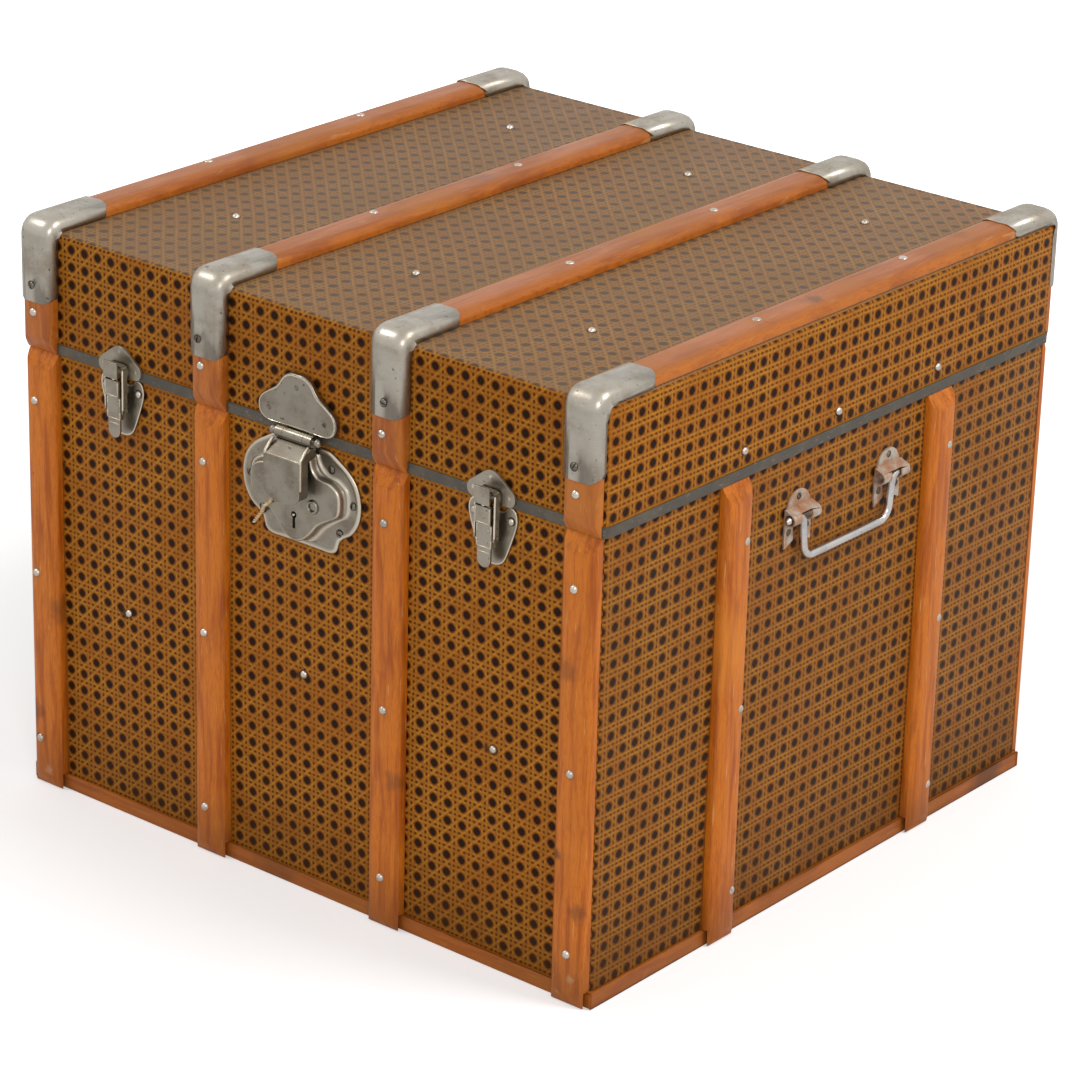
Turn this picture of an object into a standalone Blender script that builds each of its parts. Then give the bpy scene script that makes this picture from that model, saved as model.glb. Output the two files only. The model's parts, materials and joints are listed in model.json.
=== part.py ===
"""Square travelling trunk covered in printed canvas, with wooden slats.

The box is made of thin boards under a canvas skin. Four lines of slats run
up the front, over the lid and down the back, with a bent metal cap on every
lid corner, and two more stand on each end. The lid turns on two back hinges
and closes with a central hasp lock and two draw latches. Each end carries a
drop handle. All sizes are in metres: X runs along the front, -Y is the front,
Z is up and z = 0 is the floor.
"""

import math

import bmesh
import bpy
from mathutils import Matrix, Vector

# The canvas-covered box, closed
BOX_WIDTH = 0.550
BOX_DEPTH = 0.531
BOX_HEIGHT = 0.451
LID_HEIGHT = 0.094
BOARD = 0.009
CANVAS = 0.0008
EDGE_RADIUS = 0.004
LID_LAP = 0.0015
SEAM = 0.0006
GAP = 0.0003
OVERRUN = 0.002
NUDGE = 0.0002
CUT_CLEARANCE = 0.00035

# Slats and the strips they cross
SLAT_WIDTH = 0.030
SLAT_THICKNESS = 0.0095
SLAT_INSET = 0.001
SLAT_ROUND_ACROSS = 0.009
SLAT_ROUND_DEEP = 0.0062
SLAT_TIP = 0.0018
SLAT_CHAMFER = 0.0135
FOOT_CHAMFER = 0.010
FOOT_TIP = 0.0012
END_SLAT_SPREAD = 0.248
RAIL_HEIGHT = 0.012
RAIL_THICKNESS = 0.005
RAIL_CORNER = 0.003
BAND_HEIGHT = 0.008
BAND_THICKNESS = 0.001

# Corner caps
CAP_LEG = 0.054
CAP_SHEET = 0.001
CAP_END_RADIUS = 0.007
CAP_SWELL = 0.0016
CAP_SWELL_REACH = 0.007

# Lid hinges
HINGE_WIDTH = 0.062
HINGE_LEAF = 0.034
HINGE_SHEET = 0.0012
KNUCKLE_RADIUS = 0.004
HINGE_PIN_RADIUS = 0.0022
HINGE_MIDDLE_SHARE = 0.42
RUNNING = 0.0004

# Draw latches
LATCH_SPREAD = 0.356
KEEPER_WIDTH = 0.043
KEEPER_HEIGHT = 0.023
PLATE_SHEET = 0.0015
HOOK_WIDTH = 0.014
HOOK_STAND = 0.0146
HOOK_SHEET = 0.0015
HOOK_SKIRT = 0.0082
HOOK_THROAT = 0.0046
BASE_WIDTH = 0.044
BASE_HEIGHT = 0.046
LEVER_WIDTH = 0.014
LEVER_HEAD = 0.0133
LEVER_FACE = 0.0112
LEVER_SHEET = 0.001
LEVER_TOP_RISE = 0.0066
LEVER_TAB_WIDTH = 0.012
LEVER_TAB_LENGTH = 0.015
PIVOT_STAND = 0.009
PIVOT_DROP = 0.007
LINK_PIVOT_DROP = 0.016
LINK_PIVOT_STAND = 0.0080
LATCH_PIN_RADIUS = 0.0015
LINK_REACH = 0.033
LINK_DEPTH = 0.005
LINK_BACK_SHARE = 0.40
LINK_SHEET = 0.0012
LINK_BEND = 0.003
LINK_SIDE_CLEARANCE = 0.0010
EAR_RADIUS = 0.0029
EAR_SHEET = 0.0011

# Hasp lock
LOCK_WIDTH = 0.114
LOCK_HEIGHT = 0.078
LOCK_TOP_DROP = 0.004
LOCK_SHEET = 0.0015
CASE_WIDTH_SHARE = 2.486
CASE_STAND = 0.0090
CASE_BEVEL = 0.0013
LOCK_PLATE_WIDTH = 0.075
LOCK_PLATE_HEIGHT = 0.041
LOCK_PLATE_LIFT = 0.0065
LOCK_PLATE_THICKNESS = 0.0038
LOCK_PLATE_BEVEL = 0.0014
HASP_WIDTH = 0.0346
HASP_STAND = 0.0225
HASP_SHEET = 0.0013
HASP_SHOULDER_DROP = 0.0140
HASP_SIDE_DEPTH = 0.0088
HASP_LENGTH = 0.047
HASP_ROUND = 0.0093
HASP_KNUCKLE_RADIUS = 0.0045
HASP_KNUCKLE_SHARE = 0.56
HASP_PIN_RADIUS = 0.0020
PIN_BALL_RADIUS = 0.0034
PIN_BALL_NECK = 0.0006
STAPLE_WIDTH = 0.0050
STAPLE_DEPTH = 0.0165
STAPLE_HEIGHT = 0.008
STAPLE_DROP = 0.034
STAPLE_ROOM = 0.0015
SLOT_RISE = 0.004
EYE_SPREAD = 0.036
EYE_DROP = 0.0430
EYE_RADIUS = 0.0042
EYE_WIRE = 0.0013
EYE_LIFT = 0.0005
KEYHOLE_DROP = 0.0537
KEYHOLE_RADIUS = 0.0026
KEYHOLE_SLOT = 0.0026
KEYHOLE_LENGTH = 0.0105
KEY_PIN_RADIUS = 0.0014

# End handles
HANDLE_HEIGHT = 0.310
HANDLE_SHIFT = 0.0078
BRACKET_SPREAD = 0.1095
BRACKET_LENGTH = 0.032
BRACKET_SHEET = 0.0015
BRACKET_LOBE_RADIUS = 0.0136
BRACKET_LOBE_RISE = 0.0052
BRACKET_LEG_DROP = 0.0235
BRACKET_LEG_WIDTH = 0.0105
BRACKET_LEG_TAPER = 0.0045
BRACKET_TUBE_RADIUS = 0.0050
BRACKET_FOLD_RISE = 0.0068
BRACKET_SLOT = 0.0120
BAIL_SPREAD = 0.1095
BAIL_FOOT_SPREAD = 0.1030
BAIL_RADIUS = 0.0034
BAIL_DROP = 0.0340
BAIL_BEND = 0.010
BAIL_ELBOW = 0.0052
BAIL_TIP = 0.005

# The twine tied to the left eye of the lock
TWINE_RADIUS = 0.0011
TWINE_STEPS = 2
TWINE_ROUTE = [
    (0.0009, 0.0012, 0.0108), (0.0002, -0.0014, 0.0117), (-0.0012, -0.0039, 0.0127),
    (-0.0032, -0.0062, 0.0123), (-0.0058, -0.0081, 0.0112), (-0.0086, -0.0102, 0.0108),
    (-0.0113, -0.0129, 0.0098), (-0.0140, -0.0157, 0.0073), (-0.0165, -0.0185, 0.0049),
    (-0.0195, -0.0217, 0.0037), (-0.0225, -0.0252, 0.0034), (-0.0253, -0.0284, 0.0025),
    (-0.0279, -0.0312, 0.0018),
]

# How finely round forms are cut
ARC_STEPS = 4
BEND_STEPS = 5
SECTION_STEPS = 4
OUTLINE_STEPS = 2
ROUND_SIDES = 14
FINE_SIDES = 10
WIRE_SIDES = 6
SMOOTH_ANGLE = math.radians(38)

# Sizes that follow from the ones above
PARTING = BOX_HEIGHT - LID_HEIGHT
HALF_WIDTH = BOX_WIDTH / 2
HALF_DEPTH = BOX_DEPTH / 2
LID_HALF_WIDTH = HALF_WIDTH + LID_LAP
LID_HALF_DEPTH = HALF_DEPTH + LID_LAP
BAND_REACH = LID_LAP + GAP + BAND_THICKNESS
LID_SEAT = BAND_REACH + GAP
SLAT_LINE = HALF_WIDTH - SLAT_INSET - SLAT_WIDTH / 2
SLAT_LINES = [SLAT_LINE * (2 * n - 3) / 3 for n in range(4)]
HINGE_STAND = LID_SEAT + KNUCKLE_RADIUS
HINGE_LINES = [(SLAT_LINES[0] + SLAT_LINES[1]) / 2, (SLAT_LINES[2] + SLAT_LINES[3]) / 2]
PIVOT_HEIGHT = PARTING - PIVOT_DROP
LINK_PIVOT_HEIGHT = PIVOT_HEIGHT - LINK_PIVOT_DROP
LINK_BAR = LINK_PIVOT_HEIGHT + LINK_REACH
HASP_AXIS_STAND = LID_SEAT + HASP_KNUCKLE_RADIUS
HASP_AXIS_HEIGHT = PARTING + LOCK_PLATE_LIFT - HASP_KNUCKLE_RADIUS - GAP
LOCK_TOP = PARTING - LOCK_TOP_DROP
CASE_WIDTH = HASP_WIDTH * CASE_WIDTH_SHARE
CASE_FACE = GAP + CASE_STAND
BRACKET_STAND = GAP + BRACKET_SHEET + BAIL_RADIUS + RUNNING + NUDGE
FRONT_REACH = HALF_DEPTH + HASP_STAND
BACK_REACH = LID_HALF_DEPTH + GAP + SLAT_THICKNESS + GAP + CAP_SHEET
CENTRE_SHIFT = (FRONT_REACH - BACK_REACH) / 2

# Outlines, from the bottom middle round the right side to the top middle:
# shares of half the width, and of the height above the lower edge
LOCK_FLANGE_SHARES = [
    (0.0, 0.0), (0.30, 0.0), (0.50, 0.0), (0.60, 0.04), (0.64, 0.13),
    (0.72, 0.19), (0.85, 0.25), (0.96, 0.37), (1.0, 0.50), (0.99, 0.62),
    (0.93, 0.74), (0.80, 0.85), (0.63, 0.93), (0.48, 0.99), (0.36, 1.0), (0.0, 1.0),
]
CASE_SHARES = [
    (0.0, 0.045), (0.16, 0.075), (0.34, 0.155), (0.52, 0.27), (0.82, 0.375),
    (0.95, 0.42), (1.0, 0.49), (1.0, 0.60), (0.96, 0.66), (0.90, 0.69),
    (0.77, 0.725), (0.61, 0.735), (0.50, 0.75), (0.42, 0.79), (0.375, 0.84),
    (0.35, 0.90), (0.26, 0.95), (0.0, 0.97),
]
LOCK_PLATE_SHARES = [
    (0.0, 0.0), (0.40, 0.0), (0.74, 0.0), (0.93, 0.08), (1.0, 0.26),
    (0.93, 0.43), (0.75, 0.555), (0.56, 0.67), (0.45, 0.79), (0.34, 0.92),
    (0.16, 1.0), (0.0, 1.0),
]
KEEPER_SHARES = [
    (0.0, 0.0), (0.40, 0.0), (0.76, 0.0), (0.95, 0.10), (1.0, 0.30),
    (0.92, 0.48), (0.66, 0.66), (0.38, 0.86), (0.15, 0.99), (0.0, 1.0),
]
LATCH_BASE_SHARES = [
    (0.0, 0.0), (0.22, 0.01), (0.44, 0.07), (0.60, 0.20), (0.76, 0.40),
    (0.92, 0.62), (1.0, 0.80), (0.93, 0.94), (0.74, 1.0), (0.56, 0.96),
    (0.46, 0.90), (0.0, 0.90),
]

# Way from the hasp's knuckle out to its face: shares of the run and of the drop
HASP_SHOULDER_SHARES = [(0.30, 0.02), (0.94, 0.52), (0.985, 0.58), (1.0, 0.66)]
HASP_ROOT_SHARE = 0.70

FACES = {
    "front": (0.0, HALF_DEPTH),
    "right": (math.pi / 2, HALF_WIDTH),
    "back": (math.pi, HALF_DEPTH),
    "left": (-math.pi / 2, HALF_WIDTH),
}


def clear_scene():
    for obj in list(bpy.data.objects):
        bpy.data.objects.remove(obj, do_unlink=True)


def paint(name, colour, roughness, metallic=0.0):
    """A Principled material, made once and shared by the pieces of its kind."""
    found = bpy.data.materials.get(name)
    if found:
        return found
    made = bpy.data.materials.new(name)
    made.use_nodes = True
    shader = made.node_tree.nodes["Principled BSDF"]
    shader.inputs["Base Color"].default_value = (*colour, 1.0)
    shader.inputs["Roughness"].default_value = roughness
    shader.inputs["Metallic"].default_value = metallic
    made.diffuse_color = (*colour, 1.0)
    return made


def board_wood():
    return paint("board_wood", (0.42, 0.29, 0.17), 0.7)


def slat_wood():
    return paint("slat_wood", (0.48, 0.17, 0.045), 0.4)


def cane_canvas():
    return paint("cane_canvas", (0.23, 0.10, 0.025), 0.45)


def dark_band():
    return paint("dark_band", (0.07, 0.06, 0.05), 0.5, 0.6)


def cap_metal():
    return paint("cap_metal", (0.42, 0.40, 0.37), 0.35, 1.0)


def lock_metal():
    return paint("lock_metal", (0.32, 0.29, 0.25), 0.38, 1.0)


def handle_metal():
    return paint("handle_metal", (0.55, 0.56, 0.57), 0.3, 1.0)


def bracket_metal():
    return paint("bracket_metal", (0.40, 0.27, 0.20), 0.5, 0.8)


def twine_fibre():
    return paint("twine_fibre", (0.62, 0.48, 0.30), 0.9)


def make_object(name, bm, material=None):
    bmesh.ops.recalc_face_normals(bm, faces=bm.faces)
    mesh = bpy.data.meshes.new(name)
    bm.to_mesh(mesh)
    bm.free()
    obj = bpy.data.objects.new(name, mesh)
    bpy.context.scene.collection.objects.link(obj)
    if material:
        mesh.materials.append(material)
    mesh.shade_smooth()
    mesh.set_sharp_from_angle(angle=SMOOTH_ANGLE)
    return obj


def prism(name, loop, along, material=None):
    """A solid from a closed loop of points moved by one vector."""
    bm = bmesh.new()
    near = [bm.verts.new(p) for p in loop]
    far = [bm.verts.new(Vector(p) + Vector(along)) for p in loop]
    bm.faces.new(near)
    bm.faces.new(far)
    for a, b, c, d in zip(near, near[1:] + near[:1], far[1:] + far[:1], far):
        bm.faces.new((a, b, c, d))
    return make_object(name, bm, material)


def plate(name, outline, stand, thickness, material=None):
    """A plate lying on a face: its outline is in x and z."""
    return prism(name, [(x, -stand, z) for x, z in outline], (0, -thickness, 0), material)


def inset_outline(outline, inset):
    """Move every point of a closed outline inwards by one width."""
    turn = sum(a[0] * b[1] - b[0] * a[1] for a, b in zip(outline, outline[1:] + outline[:1]))
    out = []
    for before, here, after in zip(outline[-1:] + outline[:-1], outline, outline[1:] + outline[:1]):
        along = (Vector(after) - Vector(before)).normalized()
        side = Vector((-along.y, along.x)) * math.copysign(inset, turn)
        out.append((here[0] + side.x, here[1] + side.y))
    return out


def stamped(name, outline, stand, thickness, edge, material=None):
    """A plate whose front edge is rolled over, as a pressed shape's is."""
    levels = [(0.0, 0.0), (0.0, thickness - edge)]
    for n in range(1, ARC_STEPS):
        a = math.pi / 2 * n / (ARC_STEPS - 1)
        levels.append((edge * (1 - math.cos(a)), thickness - edge * (1 - math.sin(a))))
    bm = bmesh.new()
    loops = []
    for inset, lift in levels:
        points = inset_outline(outline, inset) if inset else outline
        loops.append([bm.verts.new((x, -stand - lift, z)) for x, z in points])
    bm.faces.new(loops[0])
    bm.faces.new(loops[-1])
    for one, two in zip(loops, loops[1:]):
        for a, b, c, d in zip(one, one[1:] + one[:1], two[1:] + two[:1], two):
            bm.faces.new((a, b, c, d))
    return make_object(name, bm, material)


def profile(name, outline, low, high, material=None):
    """A form with one side view, in stand and height, drawn out along x."""
    return prism(name, [(low, -h, z) for h, z in outline], (high - low, 0, 0), material)


def column(name, outline, low, high, material=None):
    """An upright form with one plan view."""
    return prism(name, [(x, y, low) for x, y in outline], (0, 0, high - low), material)


def block(name, low, high, material=None):
    outline = [(low[0], low[1]), (high[0], low[1]), (high[0], high[1]), (low[0], high[1])]
    return column(name, outline, low[2], high[2], material)


def rod(name, radius, start, end, sides=ROUND_SIDES, material=None):
    """A round bar between two points given as x, stand and height."""
    a, b = Vector((start[0], -start[1], start[2])), Vector((end[0], -end[1], end[2]))
    bm = bmesh.new()
    bmesh.ops.create_cone(
        bm, cap_ends=True, segments=sides, radius1=radius, radius2=radius, depth=(b - a).length
    )
    turn = (b - a).to_track_quat("Z", "Y").to_matrix().to_4x4()
    bmesh.ops.transform(bm, matrix=Matrix.Translation((a + b) / 2) @ turn, verts=bm.verts)
    return make_object(name, bm, material)


def rounded_rectangle(half_x, half_y, radius, steps=ARC_STEPS):
    points = []
    for corner in range(4):
        sx, sy = ((1, 1), (-1, 1), (-1, -1), (1, -1))[corner]
        centre = Vector((sx * (half_x - radius), sy * (half_y - radius)))
        for n in range(steps + 1):
            a = math.pi / 2 * (corner + n / steps)
            points.append(centre + radius * Vector((math.cos(a), math.sin(a))))
    return [tuple(p) for p in points]


def curve_through(points, steps=OUTLINE_STEPS):
    """A smooth line through points, keeping its two ends."""
    held = [points[0]] + list(points) + [points[-1]]
    out = []
    for a, b, c, d in zip(held, held[1:], held[2:], held[3:]):
        a, b, c, d = Vector(a), Vector(b), Vector(c), Vector(d)
        for n in range(steps):
            t = n / steps
            out.append(
                0.5 * (2 * b + (c - a) * t + (2 * a - 5 * b + 4 * c - d) * t**2
                       + (3 * b - a - 3 * c + d) * t**3)
            )
    return [tuple(p) for p in out] + [tuple(points[-1])]


def mirrored_outline(shares, width, height, low):
    """A closed outline from the shares of its right half."""
    half = curve_through([(x * width / 2, low + z * height) for x, z in shares])
    right = [p for p in half if p[0] > GAP]
    middle_low, middle_high = (0.0, half[0][1]), (0.0, half[-1][1])
    left = [(-x, z) for x, z in reversed(right)]
    return [middle_low] + right + [middle_high] + left


def ring(name, inner, outer, low, high, material=None):
    """An upright wall between two plan outlines with as many points."""
    bm = bmesh.new()
    loops = [
        [bm.verts.new((x, y, z)) for x, y in outline]
        for outline, z in ((inner, low), (outer, low), (outer, high), (inner, high))
    ]
    for one, two in zip(loops, loops[1:] + loops[:1]):
        for a, b, c, d in zip(one, one[1:] + one[:1], two[1:] + two[:1], two):
            bm.faces.new((a, b, c, d))
    return make_object(name, bm, material)


def rounded_box(name, half_x, half_y, low, high, radius, material=None):
    """A box whose upright and top edges are rounded."""
    bm = bmesh.new()
    bmesh.ops.create_cube(bm, size=1)
    size = Matrix.Diagonal((2 * half_x, 2 * half_y, high - low, 1))
    bmesh.ops.transform(
        bm, matrix=Matrix.Translation((0, 0, (low + high) / 2)) @ size, verts=bm.verts
    )
    lowest = [v for v in bm.verts if v.co.z < (low + high) / 2]
    edges = [e for e in bm.edges if not all(v in lowest for v in e.verts)]
    bmesh.ops.bevel(
        bm, geom=edges, offset=radius, segments=ARC_STEPS, profile=0.5, affect="EDGES"
    )
    return make_object(name, bm, material)


def as_guide(tool):
    tool.hide_render = True
    tool.display_type = "WIRE"
    return tool


def combine(obj, tool, operation):
    """Cut, add or keep what a guide solid covers."""
    step = obj.modifiers.new(tool.name, "BOOLEAN")
    step.operation = operation
    step.solver = "EXACT"
    step.object = as_guide(tool)
    return obj


def cut(obj, *tools):
    for tool in tools:
        combine(obj, tool, "DIFFERENCE")
    return obj


def add(obj, *tools):
    for tool in tools:
        combine(obj, tool, "UNION")
    return obj


def even_shading(obj):
    """Keep the flat faces of a cut or joined piece shading flat."""
    step = obj.modifiers.new("shading", "WEIGHTED_NORMAL")
    step.keep_sharp = True
    return obj


def face_place(face, x=0.0, stand=0.0, height=0.0):
    turn, reach = FACES[face]
    rotation = Matrix.Rotation(turn, 4, "Z")
    return turn, rotation @ Vector((x, -reach - stand, height))


def put(objs, face, x=0.0):
    """Stand pieces that were drawn in x, stand and height on a face of the box."""
    turn, spot = face_place(face, x)
    for obj in objs:
        obj.rotation_euler = (0, 0, turn)
        obj.location = spot


def set_pivot(obj, face, x, stand, height):
    """Move a piece's origin to a point of its joint's axis."""
    turn, spot = face_place(face, x, stand, height)
    obj.data.transform(Matrix.Translation((0, stand, -height)))
    obj.rotation_euler = (0, 0, turn)
    obj.location = spot


def empty(name, spot=(0, 0, 0)):
    obj = bpy.data.objects.new(name, None)
    obj.location = spot
    bpy.context.scene.collection.objects.link(obj)
    return obj


def hang(objs, parent, spot=(0, 0, 0)):
    """Parent pieces without moving them; spot is where the parent stands."""
    for obj in objs:
        obj.parent = parent
        obj.matrix_parent_inverse = Matrix.Translation(-Vector(spot))


def make_body_boards():
    """Five boards, fitted into the canvas."""
    inset = CANVAS + GAP
    outline = rounded_rectangle(HALF_WIDTH - inset, HALF_DEPTH - inset, EDGE_RADIUS - inset)
    form = column("body_form", outline, 0, PARTING - SEAM)
    x, y = HALF_WIDTH - inset, HALF_DEPTH - inset
    inner_x, inner_y = x - BOARD, y - BOARD
    top = PARTING - SEAM + OVERRUN
    spans = {
        "front_board": ((-x, -y, -OVERRUN), (x, -inner_y, top)),
        "back_board": ((-x, inner_y, -OVERRUN), (x, y, top)),
        "left_board": ((-x, -inner_y + GAP, -OVERRUN), (-inner_x, inner_y - GAP, top)),
        "right_board": ((inner_x, -inner_y + GAP, -OVERRUN), (x, inner_y - GAP, top)),
        "bottom_board": (
            (-inner_x + GAP, -inner_y + GAP, -OVERRUN),
            (inner_x - GAP, inner_y - GAP, BOARD),
        ),
    }
    boards = []
    for name, (low, high) in spans.items():
        board = block(name, low, high, board_wood())
        boards.append(combine(board, form, "INTERSECT"))
    return boards + [form]


def make_body_canvas():
    outer = rounded_rectangle(HALF_WIDTH, HALF_DEPTH, EDGE_RADIUS)
    inner = rounded_rectangle(HALF_WIDTH - CANVAS, HALF_DEPTH - CANVAS, EDGE_RADIUS - CANVAS)
    return ring("body_canvas", inner, outer, GAP, PARTING - SEAM, cane_canvas())


def make_base_rail():
    """The wooden strip round the foot, and the room that the slats leave it."""
    inner = rounded_rectangle(HALF_WIDTH + GAP, HALF_DEPTH + GAP, EDGE_RADIUS + GAP)
    reach = GAP + RAIL_THICKNESS
    outer = rounded_rectangle(HALF_WIDTH + reach, HALF_DEPTH + reach, RAIL_CORNER)
    rail = ring("base_rail", inner, outer, 0, RAIL_HEIGHT, slat_wood())
    reach += CUT_CLEARANCE
    room = rounded_rectangle(HALF_WIDTH + reach, HALF_DEPTH + reach, RAIL_CORNER)
    room = column("rail_room", room, -OVERRUN, RAIL_HEIGHT + CUT_CLEARANCE)
    return rail, as_guide(room)


def slat_outline(grow=0.0, foot=0.0):
    """Half-round section of a slat from one foot to the other."""
    half = SLAT_WIDTH / 2
    across, deep = SLAT_ROUND_ACROSS + grow, SLAT_ROUND_DEEP + grow
    points = [(-half - grow, foot)]
    for side in (-1, 1):
        for n in range(SECTION_STEPS + 1):
            a = math.pi / 2 * (n / SECTION_STEPS if side < 0 else 1 - n / SECTION_STEPS)
            centre = side * (half - SLAT_ROUND_ACROSS)
            u = centre + side * across * math.cos(a)
            points.append((u, SLAT_THICKNESS - SLAT_ROUND_DEEP + deep * math.sin(a)))
    return points + [(half + grow, foot)]


def trim(bm, point, normal):
    """Saw a solid off at a plane and close it."""
    geometry = list(bm.verts) + list(bm.edges) + list(bm.faces)
    bmesh.ops.bisect_plane(
        bm, geom=geometry, dist=GAP / 100, plane_co=point, plane_no=normal, clear_outer=True
    )
    bmesh.ops.holes_fill(bm, edges=[e for e in bm.edges if e.is_boundary], sides=0)


def chamfer_plane(stand, height, tip, length, face_y, down):
    """The plane that slopes a slat's end from its full thickness to its tip."""
    side = 1 if face_y > 0 else -1
    point = Vector((0, face_y + side * (stand + tip), height))
    rise = (SLAT_THICKNESS - tip) * (-1 if down else 1)
    return point, Vector((0, side * length, rise)).normalized()


def make_slat(name):
    """An upright slat of the body, drawn against the plane y = 0."""
    low, high = GAP, PARTING - SEAM
    bm = bmesh.new()
    loops = [[bm.verts.new((u, -GAP - v, z)) for u, v in slat_outline()] for z in (low, high)]
    bm.faces.new(loops[0])
    bm.faces.new(loops[1])
    one, two = loops
    for a, b, c, d in zip(one, one[1:] + one[:1], two[1:] + two[:1], two):
        bm.faces.new((a, b, c, d))
    tip = RAIL_THICKNESS + FOOT_TIP
    trim(bm, *chamfer_plane(GAP, high, SLAT_TIP, SLAT_CHAMFER, -GAP / 100, False))
    trim(bm, *chamfer_plane(GAP, low, tip, FOOT_CHAMFER, -GAP / 100, True))
    return make_object(name, bm, slat_wood())


def lid_path(stop, over=False):
    """Points, normals and directions up the lid's front and over its edge.

    It begins at the height stop, and runs over the top to the far edge and
    down the back where over is set, or ends a cap's leg along the top.
    """
    y, top, r = LID_HALF_DEPTH, BOX_HEIGHT, EDGE_RADIUS
    path = [((-y, stop), (-1, 0), (0, 1)), ((-y, top - r - CAP_SWELL_REACH), (-1, 0), (0, 1))]
    for n in range(BEND_STEPS + 1):
        a = math.pi / 2 * n / BEND_STEPS
        normal = (-math.cos(a), math.sin(a))
        spot = (-y + r + r * normal[0], top - r + r * normal[1])
        path.append((spot, normal, (math.sin(a), math.cos(a))))
    if not over:
        path.append(((-y + r + CAP_SWELL_REACH, top), (0, 1), (1, 0)))
        path.append(((-y + CAP_LEG, top), (0, 1), (1, 0)))
        return path
    del path[1]
    back = [((-s[0], s[1]), (-n[0], n[1]), (d[0], -d[1])) for s, n, d in reversed(path)]
    return path + back


def swept(name, path, section, shift, material):
    """A section carried along a path in the plane of y and z."""
    bm = bmesh.new()
    rows = []
    for index, (spot, normal, along) in enumerate(path):
        row = []
        for u, v in section:
            u2, v2, d = shift(index, u, v)
            y = spot[0] + normal[0] * v2 + along[0] * d
            z = spot[1] + normal[1] * v2 + along[1] * d
            row.append(bm.verts.new((u2, y, z)))
        rows.append(row)
    for one, two in zip(rows, rows[1:]):
        for a, b, c, d in zip(one, one[1:] + one[:1], two[1:] + two[:1], two):
            bm.faces.new((a, b, c, d))
    return bm, rows


def make_lid_slat(name):
    """One line of the lid: front, top and back runs, with sloped ends."""
    path = lid_path(PARTING, over=True)
    section = [(u, GAP + v) for u, v in slat_outline()]
    bm, rows = swept(name, path, section, lambda i, u, v: (u, v, 0), slat_wood())
    bm.faces.new(rows[0])
    bm.faces.new(rows[-1])
    for side in (-1, 1):
        face_y = side * LID_HALF_DEPTH
        trim(bm, *chamfer_plane(GAP, PARTING, SLAT_TIP, SLAT_CHAMFER, face_y, True))
    return make_object(name, bm, slat_wood())


def make_cap(name):
    """A pressed cap over the bend of a lid slat, with round-cornered ends."""
    path = lid_path(BOX_HEIGHT - CAP_LEG)
    outer = [(u, GAP + v) for u, v in slat_outline(GAP + CAP_SHEET)]
    inner = [(u, GAP + v) for u, v in slat_outline(GAP)]
    half = SLAT_WIDTH / 2 + GAP + CAP_SHEET
    last = len(path) - 1

    def shift(index, u, v):
        """Draw in the corners of the two ends and flare the foot of the bend."""
        past = max(0.0, (abs(u) - half + CAP_END_RADIUS) / CAP_END_RADIUS)
        back = CAP_END_RADIUS * (1 - math.sqrt(max(0.0, 1 - min(past, 1.0) ** 2)))
        d = back if index == 0 else -back if index == last else 0.0
        low = max(0.0, 1 - (v - GAP) / (SLAT_THICKNESS - SLAT_ROUND_DEEP))
        swell = CAP_SWELL * low if 1 < index < last - 1 else 0.0
        return u + math.copysign(swell, u), v, d

    section = outer + list(reversed(inner))
    bm, rows = swept(name, path, section, shift, cap_metal())
    count = len(outer)
    for row in (rows[0], rows[-1]):
        for n in range(count - 1):
            bm.faces.new((row[n], row[n + 1], row[-2 - n], row[-1 - n]))
    return make_object(name, bm, cap_metal())


def make_lid_boards():
    inset = CANVAS + GAP
    x, y = LID_HALF_WIDTH - inset, LID_HALF_DEPTH - inset
    top = BOX_HEIGHT - inset
    form = rounded_box("lid_form", x, y, PARTING, top, EDGE_RADIUS - inset)
    inner_x, inner_y, under = x - BOARD, y - BOARD, top - BOARD
    low, high, wall = PARTING - OVERRUN, top + OVERRUN, under - GAP
    spans = {
        "lid_top_board": ((-x, -y, under), (x, y, high)),
        "lid_front_board": ((-x, -y, low), (x, -inner_y, wall)),
        "lid_back_board": ((-x, inner_y, low), (x, y, wall)),
        "lid_left_board": ((-x, -inner_y + GAP, low), (-inner_x, inner_y - GAP, wall)),
        "lid_right_board": ((inner_x, -inner_y + GAP, low), (x, inner_y - GAP, wall)),
    }
    boards = []
    for name, (near, far) in spans.items():
        board = block(name, near, far, board_wood())
        boards.append(combine(board, form, "INTERSECT"))
    return boards + [form]


def make_lid_canvas():
    x, y = LID_HALF_WIDTH, LID_HALF_DEPTH
    skin = rounded_box("lid_canvas", x, y, PARTING, BOX_HEIGHT, EDGE_RADIUS, cane_canvas())
    room = rounded_box(
        "lid_canvas_room", x - CANVAS, y - CANVAS, PARTING - OVERRUN, BOX_HEIGHT - CANVAS,
        EDGE_RADIUS - CANVAS,
    )
    return [cut(skin, room), room]


def make_lid_band():
    """The metal strip round the lid's lower edge, and the room slats leave it."""
    x, y = LID_HALF_WIDTH + GAP, LID_HALF_DEPTH + GAP
    inner = rounded_rectangle(x, y, EDGE_RADIUS + GAP)
    r = EDGE_RADIUS + GAP + BAND_THICKNESS
    outer = rounded_rectangle(x + BAND_THICKNESS, y + BAND_THICKNESS, r)
    band = ring("lid_band", inner, outer, PARTING, PARTING + BAND_HEIGHT, dark_band())
    reach = BAND_THICKNESS + CUT_CLEARANCE
    room = rounded_rectangle(x + reach, y + reach, r + CUT_CLEARANCE)
    top = PARTING + BAND_HEIGHT + CUT_CLEARANCE
    return band, as_guide(column("band_room", room, PARTING - OVERRUN, top))


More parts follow.
